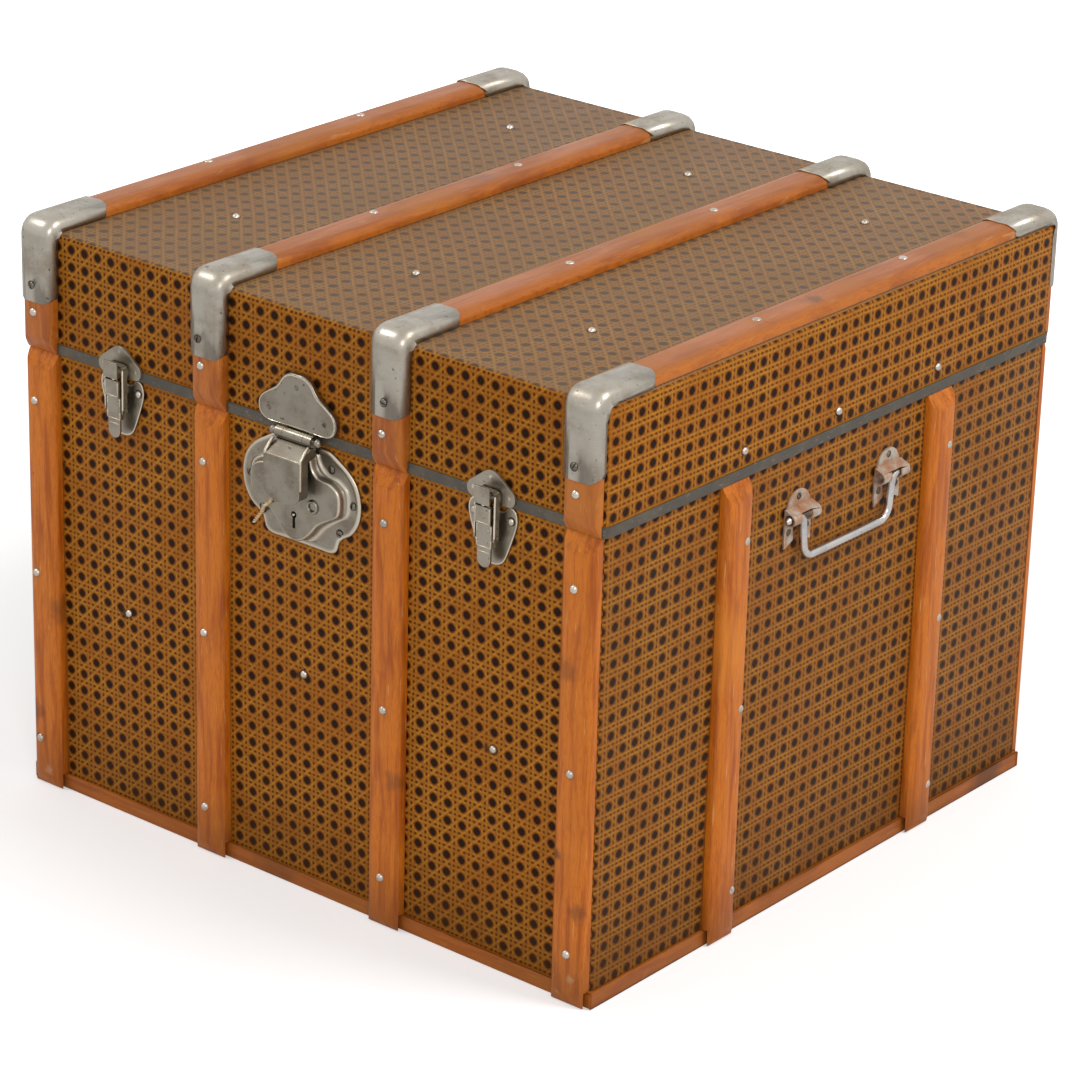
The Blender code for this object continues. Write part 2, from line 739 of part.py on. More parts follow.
def make_hinge(prefix, x):
    """A stop hinge: the lower leaf holds the pin, the upper turns on it."""
    half, middle = HINGE_WIDTH / 2, HINGE_WIDTH * HINGE_MIDDLE_SHARE / 2
    s, sheet, stand = GAP, HINGE_SHEET, HINGE_STAND
    side = half - NUDGE

    def bar(name, radius, low, high, sides=ROUND_SIDES):
        return rod(prefix + name, radius, (low, stand, PARTING), (high, stand, PARTING), sides)

    foot, crank = PARTING - HINGE_LEAF, PARTING - 2 * KNUCKLE_RADIUS
    lower = [
        (s, foot), (s + sheet, foot), (s + sheet, crank - sheet),
        (stand, PARTING - KNUCKLE_RADIUS + NUDGE), (stand, PARTING), (stand - sheet, PARTING),
        (stand - KNUCKLE_RADIUS / 2, PARTING - KNUCKLE_RADIUS), (s, crank),
    ]
    leaf = profile(prefix + "_lower_leaf", lower, -side, side, lock_metal())
    room = bar("_room", KNUCKLE_RADIUS + RUNNING, -middle - GAP + NUDGE, middle + GAP - NUDGE)
    outer = [
        bar("_left_knuckle", KNUCKLE_RADIUS, -half, -middle - GAP),
        bar("_right_knuckle", KNUCKLE_RADIUS, middle + GAP, half),
    ]
    pin = bar("_pin", HINGE_PIN_RADIUS, -half - GAP, half + GAP, FINE_SIDES)
    add(cut(leaf, room), *outer, pin)
    top, seat = PARTING + HINGE_LEAF, LID_LAP + GAP
    bend = PARTING + BAND_HEIGHT + GAP
    upper = [
        (LID_SEAT, PARTING), (LID_SEAT, bend), (seat, bend + sheet), (seat, top),
        (seat + sheet, top), (seat + sheet, bend + 2 * sheet), (LID_SEAT + sheet, bend + sheet),
        (LID_SEAT + sheet, PARTING),
    ]
    flap = profile(prefix + "_upper_leaf", upper, -side, side, lock_metal())
    tube = bar("_middle_knuckle", KNUCKLE_RADIUS, -middle, middle)
    over = half + OVERRUN
    sides = [
        bar("_left_room", KNUCKLE_RADIUS + RUNNING, -over, -middle + NUDGE),
        bar("_right_room", KNUCKLE_RADIUS + RUNNING, middle - NUDGE, over),
    ]
    bore = bar("_bore", HINGE_PIN_RADIUS + RUNNING, -over, over, FINE_SIDES)
    cut(add(cut(flap, *sides), tube), bore)
    put([leaf, pin, room, *outer, flap, tube, bore, *sides], "back", x)
    return leaf, flap


def make_keeper(prefix, x):
    """Lid plate of a draw latch, with the hook that the link's bar sits in."""
    low = PARTING + GAP
    outline = mirrored_outline(KEEPER_SHARES, KEEPER_WIDTH, KEEPER_HEIGHT, low)
    keeper = plate(prefix + "_keeper", outline, LID_SEAT, PLATE_SHEET, lock_metal())
    root = LID_SEAT + PLATE_SHEET / 2
    web = LINK_BAR - GAP
    back, front = HOOK_STAND - HOOK_SHEET, HOOK_STAND
    hook = [
        (root, web - HOOK_SHEET), (back, web - HOOK_SHEET), (back, web - HOOK_SKIRT),
        (front, web - HOOK_SKIRT), (front, web + HOOK_THROAT), (back, web + HOOK_THROAT),
        (back, web), (root, web),
    ]
    hook = profile(prefix + "_hook", hook, -HOOK_WIDTH / 2, HOOK_WIDTH / 2)
    add(keeper, hook)
    put([keeper, hook], "front", x)
    return keeper


def make_latch_base(prefix, x):
    """Body plate with two ears and the lever's pin."""
    low = PARTING - GAP - BASE_HEIGHT
    outline = mirrored_outline(LATCH_BASE_SHARES, BASE_WIDTH, BASE_HEIGHT, low)
    base = plate(prefix + "_base", outline, GAP, PLATE_SHEET, lock_metal())
    z, tools = PIVOT_HEIGHT, []
    ear_x = LEVER_WIDTH / 2 - LEVER_SHEET - GAP
    ear = [(GAP + PLATE_SHEET / 2, z - 2 * EAR_RADIUS), (GAP + PLATE_SHEET / 2, z + EAR_RADIUS)]
    for n in range(FINE_SIDES // 2 + 1):
        a = math.pi / 2 - math.pi * n / (FINE_SIDES // 2)
        ear.append((PIVOT_STAND + EAR_RADIUS * math.cos(a), z + EAR_RADIUS * math.sin(a)))
    for side in (-1, 1):
        ends = sorted((side * ear_x, side * (ear_x - EAR_SHEET)))
        tools.append(profile(prefix + "_ear", ear, *ends))
    reach = LEVER_WIDTH / 2 + LINK_SIDE_CLEARANCE / 2
    ends = (-reach, PIVOT_STAND, z), (reach, PIVOT_STAND, z)
    tools.append(rod(prefix + "_pivot_pin", LATCH_PIN_RADIUS, *ends, FINE_SIDES))
    add(base, *tools)
    put([base, *tools], "front", x)
    return base


def lever_side(inset):
    """Side view of the lever's channel; with inset set, of the room inside it."""
    low = PARTING - BASE_HEIGHT + LEVER_TAB_LENGTH
    step = PIVOT_HEIGHT - PIVOT_DROP
    back = -OVERRUN if inset else PIVOT_STAND - EAR_RADIUS
    top = PIVOT_HEIGHT + LEVER_TOP_RISE + (OVERRUN if inset else 0)
    return [
        (back, low + inset), (LEVER_FACE - inset, low + inset),
        (LEVER_FACE - inset, step), (LEVER_HEAD - inset, step + LEVER_SHEET),
        (LEVER_HEAD - inset, top), (PIVOT_STAND, top), (back, top - LEVER_TOP_RISE / 2),
    ]


def make_lever(prefix, x):
    """Channel-shaped lever with a finger tab and the link's pin."""
    half, wall, z = LEVER_WIDTH / 2, LEVER_SHEET, PIVOT_HEIGHT
    lever = profile(prefix + "_lever", lever_side(0.0), -half, half, lock_metal())
    hollow = profile(prefix + "_hollow", lever_side(wall), wall - half, half - wall)
    over = half + OVERRUN
    bore_ends = (-over, PIVOT_STAND, z), (over, PIVOT_STAND, z)
    bore = rod(prefix + "_bore", LATCH_PIN_RADIUS + RUNNING, *bore_ends, FINE_SIDES)
    low = PARTING - BASE_HEIGHT
    joint = low + LEVER_TAB_LENGTH + wall / 2
    w = LEVER_TAB_WIDTH / 2
    tab = [(-w, joint), (w, joint)]
    for n in range(FINE_SIDES + 1):
        a = -math.pi * n / FINE_SIDES
        tab.append((w * math.cos(a), low + w + w * math.sin(a)))
    tab = plate(prefix + "_tab", tab, LEVER_FACE - wall * 2, wall * 1.5)
    reach, p = half + LINK_SIDE_CLEARANCE + LINK_SHEET + NUDGE, LINK_PIVOT_HEIGHT
    ends = (-reach, LINK_PIVOT_STAND, p), (reach, LINK_PIVOT_STAND, p)
    pin = rod(prefix + "_link_pin", LATCH_PIN_RADIUS, *ends, FINE_SIDES)
    add(cut(lever, hollow, bore), tab, pin)
    put([hollow, bore, tab, pin], "front", x)
    set_pivot(lever, "front", x, PIVOT_STAND, z)
    return lever


def make_link(prefix, x):
    """Strap bent to a U round the lever; its bar hooks over the keeper."""
    inner = LEVER_WIDTH / 2 + LINK_SIDE_CLEARANCE
    outer = inner + LINK_SHEET
    low = LINK_PIVOT_HEIGHT - LINK_DEPTH / 2
    top = LINK_BAR + LINK_SHEET
    outline = [(outer, low)]
    for r, half, high in ((LINK_BEND, outer, top), (LINK_BEND - LINK_SHEET, inner, LINK_BAR)):
        arc = []
        for n in range(ARC_STEPS + 1):
            a = math.pi / 2 * n / ARC_STEPS
            arc.append((half - r + r * math.cos(a), high - r + r * math.sin(a)))
        run = arc + [(-u, z) for u, z in reversed(arc)]
        outline += run if half == outer else [(-outer, low), (-inner, low)] + run[::-1]
    outline.append((inner, low))
    stand = LINK_PIVOT_STAND - LINK_DEPTH * LINK_BACK_SHARE
    link = plate(prefix + "_link", outline, stand, LINK_DEPTH, lock_metal())
    over = outer + OVERRUN
    p = LINK_PIVOT_HEIGHT
    ends = (-over, LINK_PIVOT_STAND, p), (over, LINK_PIVOT_STAND, p)
    bore = rod(prefix + "_link_bore", LATCH_PIN_RADIUS + RUNNING, *ends, FINE_SIDES)
    cut(link, bore)
    put([bore], "front", x)
    set_pivot(link, "front", x, LINK_PIVOT_STAND, p)
    return link


def make_lock_plate():
    """Three-lobed lid plate with the hasp's outer knuckles and its pin."""
    low = PARTING + LOCK_PLATE_LIFT
    outline = mirrored_outline(LOCK_PLATE_SHARES, LOCK_PLATE_WIDTH, LOCK_PLATE_HEIGHT, low)
    thick, edge = LOCK_PLATE_THICKNESS, LOCK_PLATE_BEVEL
    piece = stamped("lock_plate", outline, LID_SEAT, thick, edge, lock_metal())
    stand, z, r = HASP_AXIS_STAND, HASP_AXIS_HEIGHT, HASP_KNUCKLE_RADIUS
    half = HASP_WIDTH / 2
    inner = half * HASP_KNUCKLE_SHARE + GAP
    tools = []
    for side in (-1, 1):
        ends = (side * inner, stand, z), (side * half, stand, z)
        tools.append(rod("lock_knuckle", r, *ends, FINE_SIDES))
        spans = sorted((side * (inner + NUDGE), side * (half - NUDGE)))
        near, far, high = LID_SEAT + NUDGE, LID_SEAT + r / 2, low + r / 2
        root = [(near, z), (far, z), (far, high), (near, high)]
        tools.append(profile("lock_knuckle_root", root, *spans))
        ball = half + PIN_BALL_NECK + PIN_BALL_RADIUS
        tools.append(pin_ball("lock_pin_ball", side * ball, stand, z))
    reach = half + PIN_BALL_NECK + PIN_BALL_RADIUS
    ends = (-reach, stand, z), (reach, stand, z)
    tools.append(rod("lock_pin", HASP_PIN_RADIUS, *ends, FINE_SIDES))
    add(piece, *tools)
    put([piece, *tools], "front")
    return piece


def pin_ball(name, x, stand, height):
    bm = bmesh.new()
    bmesh.ops.create_icosphere(bm, subdivisions=2, radius=PIN_BALL_RADIUS)
    bmesh.ops.translate(bm, vec=(x, -stand, height), verts=bm.verts)
    return make_object(name, bm)


def hasp_side(inset):
    """Side view of the hasp; with inset set, of the room inside it."""
    z, face = HASP_AXIS_HEIGHT, HASP_STAND - inset
    low = z - HASP_LENGTH - (OVERRUN if inset else 0)
    first, last = HASP_AXIS_STAND - HASP_KNUCKLE_RADIUS / 2, HASP_STAND
    outer = [(first, z - HASP_KNUCKLE_RADIUS * HASP_ROOT_SHARE - inset)]
    for across, down in HASP_SHOULDER_SHARES:
        outer.append((
            first + (last - first) * across - inset,
            z - HASP_KNUCKLE_RADIUS - HASP_SHOULDER_DROP * down - inset * (1 - across / 2),
        ))
    outer.append((face, low))
    if inset:
        return outer + [(-OVERRUN, low), (-OVERRUN, outer[0][1])]
    side = HASP_STAND - HASP_SIDE_DEPTH
    shoulder = z - HASP_SHOULDER_DROP
    return outer + [(side, low), (side, shoulder), (first, shoulder + HASP_KNUCKLE_RADIUS / 2)]


def make_hasp():
    """Hasp: knuckle, curved shoulder and a flanged plate with its staple."""
    stand, z = HASP_AXIS_STAND, HASP_AXIS_HEIGHT
    half, r = HASP_WIDTH / 2, HASP_KNUCKLE_RADIUS
    face, wall, over = HASP_STAND, HASP_SHEET, HASP_WIDTH / 2 + OVERRUN
    low = z - HASP_LENGTH
    hasp = profile("hasp", hasp_side(0.0), -half, half, lock_metal())
    hollow = profile("hasp_hollow", hasp_side(wall), wall - half, half - wall)
    end = [(-over, low - OVERRUN), (over, low - OVERRUN), (over, low + HASP_ROUND)]
    for n in range(ROUND_SIDES + 1):
        a = -math.pi * n / ROUND_SIDES
        u = (half + NUDGE) * math.cos(a)
        end.append((u, low + HASP_ROUND + (HASP_ROUND - NUDGE) * math.sin(a)))
    end.append((-over, low + HASP_ROUND))
    end = plate("hasp_end", end, 0, face + OVERRUN)
    inner = half * HASP_KNUCKLE_SHARE
    knuckle = rod("hasp_knuckle", r, (-inner, stand, z), (inner, stand, z), ROUND_SIDES)
    rooms = []
    for side in (-1, 1):
        ends = (side * (inner - NUDGE), stand, z), (side * over, stand, z)
        rooms.append(rod("hasp_room", r + RUNNING, *ends, ROUND_SIDES))
    ends = (-over, stand, z), (over, stand, z)
    bore = rod("hasp_bore", HASP_PIN_RADIUS + RUNNING, *ends, FINE_SIDES)
    top = z - STAPLE_DROP + STAPLE_HEIGHT / 2
    near, far = face - wall / 2, face - STAPLE_DEPTH
    staple = [(near, top), (near, top - STAPLE_HEIGHT), (far, top - STAPLE_HEIGHT), (far, top)]
    staple = profile("hasp_staple", staple, -STAPLE_WIDTH / 2, STAPLE_WIDTH / 2)
    cut(hasp, hollow, end, *rooms)
    cut(add(hasp, knuckle, staple), bore)
    put([hollow, end, knuckle, *rooms, bore, staple], "front")
    set_pivot(hasp, "front", 0, stand, z)
    return hasp


def lock_eye(name, x, z):
    """A wire ring lying on the lock's case, sunk into it a little."""
    bm = bmesh.new()
    rows, middle = [], CASE_FACE + EYE_LIFT
    for n in range(ROUND_SIDES):
        a = 2 * math.pi * n / ROUND_SIDES
        row = []
        for m in range(WIRE_SIDES):
            b = 2 * math.pi * (m + 0.5) / WIRE_SIDES
            reach = EYE_RADIUS + EYE_WIRE * math.cos(b)
            spot = (x + reach * math.cos(a), -middle - EYE_WIRE * math.sin(b), z + reach * math.sin(a))
            row.append(bm.verts.new(spot))
        rows.append(row)
    for one, two in zip(rows, rows[1:] + rows[:1]):
        for a, b, c, d in zip(one, one[1:] + one[:1], two[1:] + two[:1], two):
            bm.faces.new((a, b, c, d))
    return make_object(name, bm)


def make_lock_case():
    """Body half of the lock: flange, raised case, keyhole and two eyes."""
    low = LOCK_TOP - LOCK_HEIGHT
    outline = mirrored_outline(LOCK_FLANGE_SHARES, LOCK_WIDTH, LOCK_HEIGHT, low)
    case = plate("lock_case", outline, GAP, LOCK_SHEET, lock_metal())
    raised = mirrored_outline(CASE_SHARES, CASE_WIDTH, LOCK_HEIGHT, low)
    sunk = GAP + LOCK_SHEET / 2
    raised = stamped("lock_raised", raised, sunk, CASE_FACE - sunk, CASE_BEVEL)
    z = HASP_AXIS_HEIGHT - STAPLE_DROP
    w, h = STAPLE_WIDTH / 2 + STAPLE_ROOM, STAPLE_HEIGHT / 2 + STAPLE_ROOM
    reach = HASP_STAND - STAPLE_DEPTH - STAPLE_ROOM
    slot = plate(
        "staple_slot",
        [(-w, z - h), (w, z - h), (w, z + h + SLOT_RISE), (-w, z + h + SLOT_RISE)],
        reach, CASE_STAND,
    )
    key_z = LOCK_TOP - KEYHOLE_DROP
    hole = [(KEYHOLE_SLOT / 2, key_z - KEYHOLE_LENGTH), (-KEYHOLE_SLOT / 2, key_z - KEYHOLE_LENGTH)]
    for n in range(FINE_SIDES + 1):
        a = math.pi * (1.35 - 1.7 * n / FINE_SIDES)
        hole.append((KEYHOLE_RADIUS * math.cos(a), key_z + KEYHOLE_RADIUS * math.sin(a)))
    depth = GAP + LOCK_SHEET
    hole = plate("keyhole", hole, depth, CASE_STAND)
    ends = (0, depth / 2, key_z), (0, CASE_FACE + KEY_PIN_RADIUS, key_z)
    key_pin = rod("key_pin", KEY_PIN_RADIUS, *ends, FINE_SIDES)
    eye_z = LOCK_TOP - EYE_DROP
    eyes = [lock_eye("lock_eye", side * EYE_SPREAD / 2, eye_z) for side in (-1, 1)]
    add(cut(add(case, raised), slot, hole), key_pin, *eyes)
    put([case, raised, slot, hole, key_pin, *eyes], "front")
    return case


def bracket_outline():
    """Two slanted legs below and one round lobe above."""
    z, half = HANDLE_HEIGHT, BRACKET_LENGTH / 2 - GAP
    inner, foot = half - BRACKET_LEG_WIDTH, z - BRACKET_LEG_DROP
    right = [
        (inner, z - BRACKET_TUBE_RADIUS), (inner, foot + BRACKET_LEG_TAPER),
        (half - GAP, foot), (half, foot + GAP), (half, z),
    ]
    r, centre = BRACKET_LOBE_RADIUS, z + BRACKET_LOBE_RISE
    for n in range(FINE_SIDES + 1):
        a = math.pi / 2 * n / FINE_SIDES
        right.append((r * math.cos(a), centre + r * math.sin(a)))
    return right + [(-u, w) for u, w in reversed(right[:-1])]


def make_bracket(name, face, x):
    """Sheet folded into a bored tube, with a lobe above and two legs below."""
    z, sheet, half = HANDLE_HEIGHT, BRACKET_SHEET, BRACKET_LENGTH / 2
    stand, r, over = BRACKET_STAND, BRACKET_TUBE_RADIUS, BRACKET_LENGTH / 2 + OVERRUN
    bracket = plate(name, bracket_outline(), GAP, sheet, bracket_metal())
    root, high = GAP + sheet / 2, z + BRACKET_FOLD_RISE
    fold = [(root, z - r)]
    for n in range(ROUND_SIDES // 2 + 1):
        a = -math.pi / 2 + math.radians(140) * n / (ROUND_SIDES // 2)
        fold.append((stand + r * math.cos(a), z + r * math.sin(a)))
    fold += [(GAP + sheet + NUDGE, high), (root, high)]
    fold = profile(name + "_fold", fold, -half, half)
    bore_radius = BAIL_RADIUS + RUNNING
    bore = rod(name + "_bore", bore_radius, (-over, stand, z), (over, stand, z))
    w, deep, far = BRACKET_SLOT / 2, GAP + sheet - NUDGE, stand + 2 * r
    slot = block(name + "_slot", (-w, -far, z - 3 * r), (w, -deep, z + bore_radius))
    cut(add(bracket, fold), slot, bore)
    put([bracket, slot, bore, fold], face, x)
    return bracket


def rounded_run(points, radii, steps=BEND_STEPS):
    """A path whose inner corners are turned to arcs."""
    out = [Vector(points[0])]
    for before, corner, after, r in zip(points, points[1:], points[2:], radii):
        before, corner, after = Vector(before), Vector(corner), Vector(after)
        start = corner + (before - corner).normalized() * r
        end = corner + (after - corner).normalized() * r
        centre = start + end - corner
        for n in range(steps + 1):
            a = math.pi / 2 * n / steps
            out.append(centre + (start - centre) * math.cos(a) + (end - centre) * math.sin(a))
    return out + [Vector(points[-1])]


def tube_curve(name, points, radius, resolution, material):
    data = bpy.data.curves.new(name, "CURVE")
    data.dimensions = "3D"
    data.bevel_depth = radius
    data.bevel_resolution = resolution
    data.use_fill_caps = True
    spline = data.splines.new("POLY")
    spline.points.add(len(points) - 1)
    for point, spot in zip(spline.points, points):
        point.co = (*spot, 1.0)
    data.materials.append(material)
    obj = bpy.data.objects.new(name, data)
    bpy.context.scene.collection.objects.link(obj)
    return obj


def handle_middle(face):
    """Where a handle's middle stands along its face."""
    return HANDLE_SHIFT if face == "right" else -HANDLE_SHIFT


def make_bail(name, face):
    """Round rod bent to a shallow U, its ends turned out through the brackets."""
    leg, foot = BAIL_SPREAD / 2, BAIL_FOOT_SPREAD / 2
    tip = (BRACKET_SPREAD + BRACKET_LENGTH) / 2 + BAIL_TIP
    corners = [
        (-tip, 0, 0), (-leg, 0, 0), (-foot, 0, -BAIL_DROP),
        (foot, 0, -BAIL_DROP), (leg, 0, 0), (tip, 0, 0),
    ]
    run = rounded_run(corners, (BAIL_ELBOW, BAIL_BEND, BAIL_BEND, BAIL_ELBOW))
    bail = tube_curve(name, run, BAIL_RADIUS, 2, handle_metal())
    turn, spot = face_place(face, handle_middle(face), BRACKET_STAND, HANDLE_HEIGHT)
    bail.rotation_euler = (0, 0, turn)
    bail.location = spot
    return bail


def make_twine():
    """The tail of a twine that passes through the left eye and lies on the lock.

    The route's points count from the eye: across, down from it, and how far
    the middle of the twine stands off the canvas.
    """
    x, z = -EYE_SPREAD / 2, LOCK_TOP - EYE_DROP
    route = [(x + u, -HALF_DEPTH - h, z + w) for u, w, h in TWINE_ROUTE]
    return tube_curve("key_twine", curve_through(route, TWINE_STEPS), TWINE_RADIUS, 2, twine_fibre())


def make_slats(rail_room, band_room):
    body, lid = [], []
    mesh = None
    for name, face, x in slat_places():
        slat = make_slat(name) if mesh is None else bpy.data.objects.new(name, mesh)
        if mesh is None:
            mesh = slat.data
        else:
            bpy.context.scene.collection.objects.link(slat)
        cut(slat, rail_room)
        put([slat], face, x)
        body.append(slat)
    for n, x in enumerate(SLAT_LINES, 1):
        slat = make_lid_slat(f"lid_slat_{n}")
        slat.location.x = x
        lid.append(cut(slat, band_room))
        for end, turn in (("front", 0.0), ("back", math.pi)):
            cap = make_cap(f"{end}_cap_{n}")
            cap.rotation_euler[2] = turn
            cap.location.x = x
            lid.append(cap)
    return body, lid


def slat_places():
    places = [(f"front_slat_{n}", "front", x) for n, x in enumerate(SLAT_LINES, 1)]
    places += [(f"back_slat_{n}", "back", -x) for n, x in enumerate(SLAT_LINES, 1)]
    for face in ("left", "right"):
        for n, side in enumerate((-1, 1), 1):
            along = side if face == "right" else -side
            places.append((f"{face}_slat_{n}", face, along * END_SLAT_SPREAD / 2))
    return places


def make_handles():
    still, bails = [], []
    for face in ("left", "right"):
        bails.append(make_bail(f"{face}_handle", face))
        for end, side in (("front", -1), ("rear", 1)):
            along = side if face == "right" else -side
            x = handle_middle(face) + along * BRACKET_SPREAD / 2
            still.append(make_bracket(f"{face}_{end}_bracket", face, x))
    return still, bails


def build():
    clear_scene()
    root = empty("trunk", (0, CENTRE_SHIFT, 0))
    hinge_spot = (0, HALF_DEPTH + HINGE_STAND, PARTING)
    lid = empty("lid_hinge_axis", hinge_spot)
    hang([lid], root)
    rail, rail_room = make_base_rail()
    band, band_room = make_lid_band()
    slats, lid_pieces = make_slats(rail_room, band_room)
    body = make_body_boards() + [make_body_canvas(), rail, rail_room, *slats]
    lid_pieces += make_lid_boards() + make_lid_canvas() + [band, band_room]
    for side, x in zip(("left", "right"), HINGE_LINES):
        leaf, flap = make_hinge(f"{side}_hinge", -x)
        body.append(leaf)
        lid_pieces.append(flap)
    movers = []
    for side, sign in (("left", -1), ("right", 1)):
        x = sign * LATCH_SPREAD / 2
        prefix = f"{side}_latch"
        lid_pieces.append(make_keeper(prefix, x))
        body.append(make_latch_base(prefix, x))
        movers += [make_lever(prefix, x), make_link(prefix, x)]
    body.append(make_lock_case())
    lid_pieces += [make_lock_plate(), make_hasp()]
    still, bails = make_handles()
    hang(body + still + bails + movers + [make_twine()], root)
    hang(lid_pieces, lid, hinge_spot)
    for obj in bpy.data.objects:
        if obj.parent is None and obj is not root:
            hang([obj], root)
        if not obj.hide_render and any(m.type == "BOOLEAN" for m in obj.modifiers):
            even_shading(obj)


build()
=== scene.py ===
"""Travelling trunk in cane-print canvas: finishes, nails, cord and studio."""

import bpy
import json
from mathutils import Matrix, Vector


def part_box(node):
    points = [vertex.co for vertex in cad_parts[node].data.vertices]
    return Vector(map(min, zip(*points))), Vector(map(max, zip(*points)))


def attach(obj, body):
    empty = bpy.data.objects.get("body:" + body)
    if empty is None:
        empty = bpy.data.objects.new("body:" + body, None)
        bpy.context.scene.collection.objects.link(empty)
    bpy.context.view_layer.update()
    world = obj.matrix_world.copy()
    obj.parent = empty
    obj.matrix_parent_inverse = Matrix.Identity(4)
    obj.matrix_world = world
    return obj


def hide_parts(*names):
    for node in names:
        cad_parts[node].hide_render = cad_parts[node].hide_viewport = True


bl_info = {
    "name": "Cane-print trunk",
    "version": (1, 0, 0),
    "blender": (4, 5, 0),
    "location": "View3D > Sidebar > Trunk",
    "description": "Dresses a square slatted trunk and sets it in a pale studio",
    "category": "Object",
}

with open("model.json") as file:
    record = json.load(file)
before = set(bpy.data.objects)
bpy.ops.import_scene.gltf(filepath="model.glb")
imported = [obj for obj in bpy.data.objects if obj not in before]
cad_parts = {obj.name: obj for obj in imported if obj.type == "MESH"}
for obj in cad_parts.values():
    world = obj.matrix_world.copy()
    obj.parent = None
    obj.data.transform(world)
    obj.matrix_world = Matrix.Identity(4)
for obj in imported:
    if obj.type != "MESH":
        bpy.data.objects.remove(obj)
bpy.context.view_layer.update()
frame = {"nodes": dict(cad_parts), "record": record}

import json
import math
import random
from functools import cached_property, partialmethod

import bmesh
import bpy
from bpy.props import FloatProperty, FloatVectorProperty, PointerProperty
from mathutils import Matrix, Vector

# Sizes taken from the frame
(_, FRONT, _), (SIDE, BACK, _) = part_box("body_canvas")
_, (LID_SIDE, LID_BACK, LID_TOP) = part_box("lid_canvas")
(_, LID_SLAT_FRONT, _), (_, LID_SLAT_BACK, LID_SLAT_TOP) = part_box("lid_slat_1")
(_, CAP_FRONT, _), (_, _, CAP_TOP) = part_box("front_cap_1")
CAP_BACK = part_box("back_cap_1")[1][1]
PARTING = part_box("lid_band")[0][2]
SLAT_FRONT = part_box("front_slat_1")[0][1]
SLAT_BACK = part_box("back_slat_1")[1][1]
SLAT_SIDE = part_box("right_slat_1")[1][0]
HASP_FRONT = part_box("hasp")[0][1]
SHIFT = (FRONT + BACK) / 2
FRONT_FACE_Y = SHIFT - 0.2655

RECORD = frame["record"]
BODY_OF = {node: body for body, nodes in RECORD["behaviour"]["bodies"].items() for node in nodes}

# Points of the frame this near to one another are one; the dark rings round the heads, grime with
# painted shadow, lie this far out
SAME_SPOT, DARK_RING_RISE = 0.000004, 0.00012


# ---------------------------------------------------------------- settings


def colour_setting(name, description, default):
    return FloatVectorProperty(
        name=name, description=description, default=default, size=3,
        subtype="COLOR", min=0.0, max=1.0,
    )


def length_setting(name, description, default):
    return FloatProperty(
        name=name, description=description, default=default, min=0.0,
        subtype="DISTANCE", unit="LENGTH", precision=4,
    )


def share_setting(name, description, default):
    return FloatProperty(
        name=name, description=description, default=default, min=0.0, max=1.0,
        subtype="FACTOR",
    )


def power_setting(name, description, default):
    return FloatProperty(
        name=name, description=description, default=default, min=0.0, unit="POWER"
    )


class TrunkCanvasSettings(bpy.types.PropertyGroup):
    """The printed canvas that covers the boards"""

    pitch: length_setting("Cell pitch", "Distance from one printed hole to the next", 0.01358)
    hole: share_setting("Hole size", "Half width of a hole, as a share of the pitch", 0.226)
    ground: colour_setting("Ground", "Colour between the printed strands", (0.172, 0.045, 0.0045))
    strand: colour_setting("Strand", "Colour of the printed cane strands", (0.390, 0.148, 0.0140))
    light: colour_setting("Top strand", "Colour of the strands on top", (0.560, 0.236, 0.0240))
    dark: colour_setting("Hole", "Colour of the printed holes", (0.0190, 0.0072, 0.0015))
    gap: colour_setting("Gaps", "Small red-brown gaps between the strands", (0.062, 0.012, 0.0015))


class TrunkWoodSettings(bpy.types.PropertyGroup):
    """The slats, the base rail and the boards"""

    slat: colour_setting("Slat", "Varnished colour of the slats", (0.620, 0.172, 0.012))
    grain: colour_setting("Grain", "Darker lines in the slats", (0.380, 0.082, 0.0060))
    stain: colour_setting("Stain", "Old dark marks on the wood", (0.060, 0.026, 0.012))
    board: colour_setting("Board", "Bare boards inside", (0.430, 0.275, 0.140))
    board_grain: colour_setting("Board grain", "Darker lines in the boards", (0.270, 0.150, 0.068))


class TrunkMetalSettings(bpy.types.PropertyGroup):
    """Caps, lock, latches, handles and nails"""

    cap: colour_setting("Cap", "Satin plating of the lid caps", (0.440, 0.402, 0.340))
    lock: colour_setting("Lock", "Plating of the lock and latches", (0.290, 0.258, 0.207))
    patina: colour_setting("Patina", "Warm tarnish on the plating", (0.125, 0.090, 0.054))
    rust: colour_setting("Rust", "Pinkish rust on the handle brackets", (0.430, 0.222, 0.122))
    bare: colour_setting("Bright metal", "Worn nails and handle rod", (0.600, 0.535, 0.455))
    band: colour_setting("Band", "Dark band at the lid's edge", (0.075, 0.064, 0.050))


class TrunkHardwareSettings(bpy.types.PropertyGroup):
    """Nails, rivets and screws"""

    nail: length_setting("Nail head", "Width of the domed nail heads", 0.0070)
    rivet: length_setting("Rivet head", "Width of the small rivet heads", 0.0058)
    screw: length_setting("Screw head", "Width of the slotted screw heads", 0.0052)


class TrunkStudioSettings(bpy.types.PropertyGroup):
    """Lights and floor"""

    sky: FloatProperty(name="Sky", description="Strength of the even light", default=0.56, min=0.0)
    key: power_setting("Key light", "Power of the main lamp", 42.0)
    fill: power_setting("Fill light", "Power of the second lamp", 26.0)
    floor: share_setting("Floor", "Lightness of the floor", 0.80)


# --------------------------------------------------------------- finishes


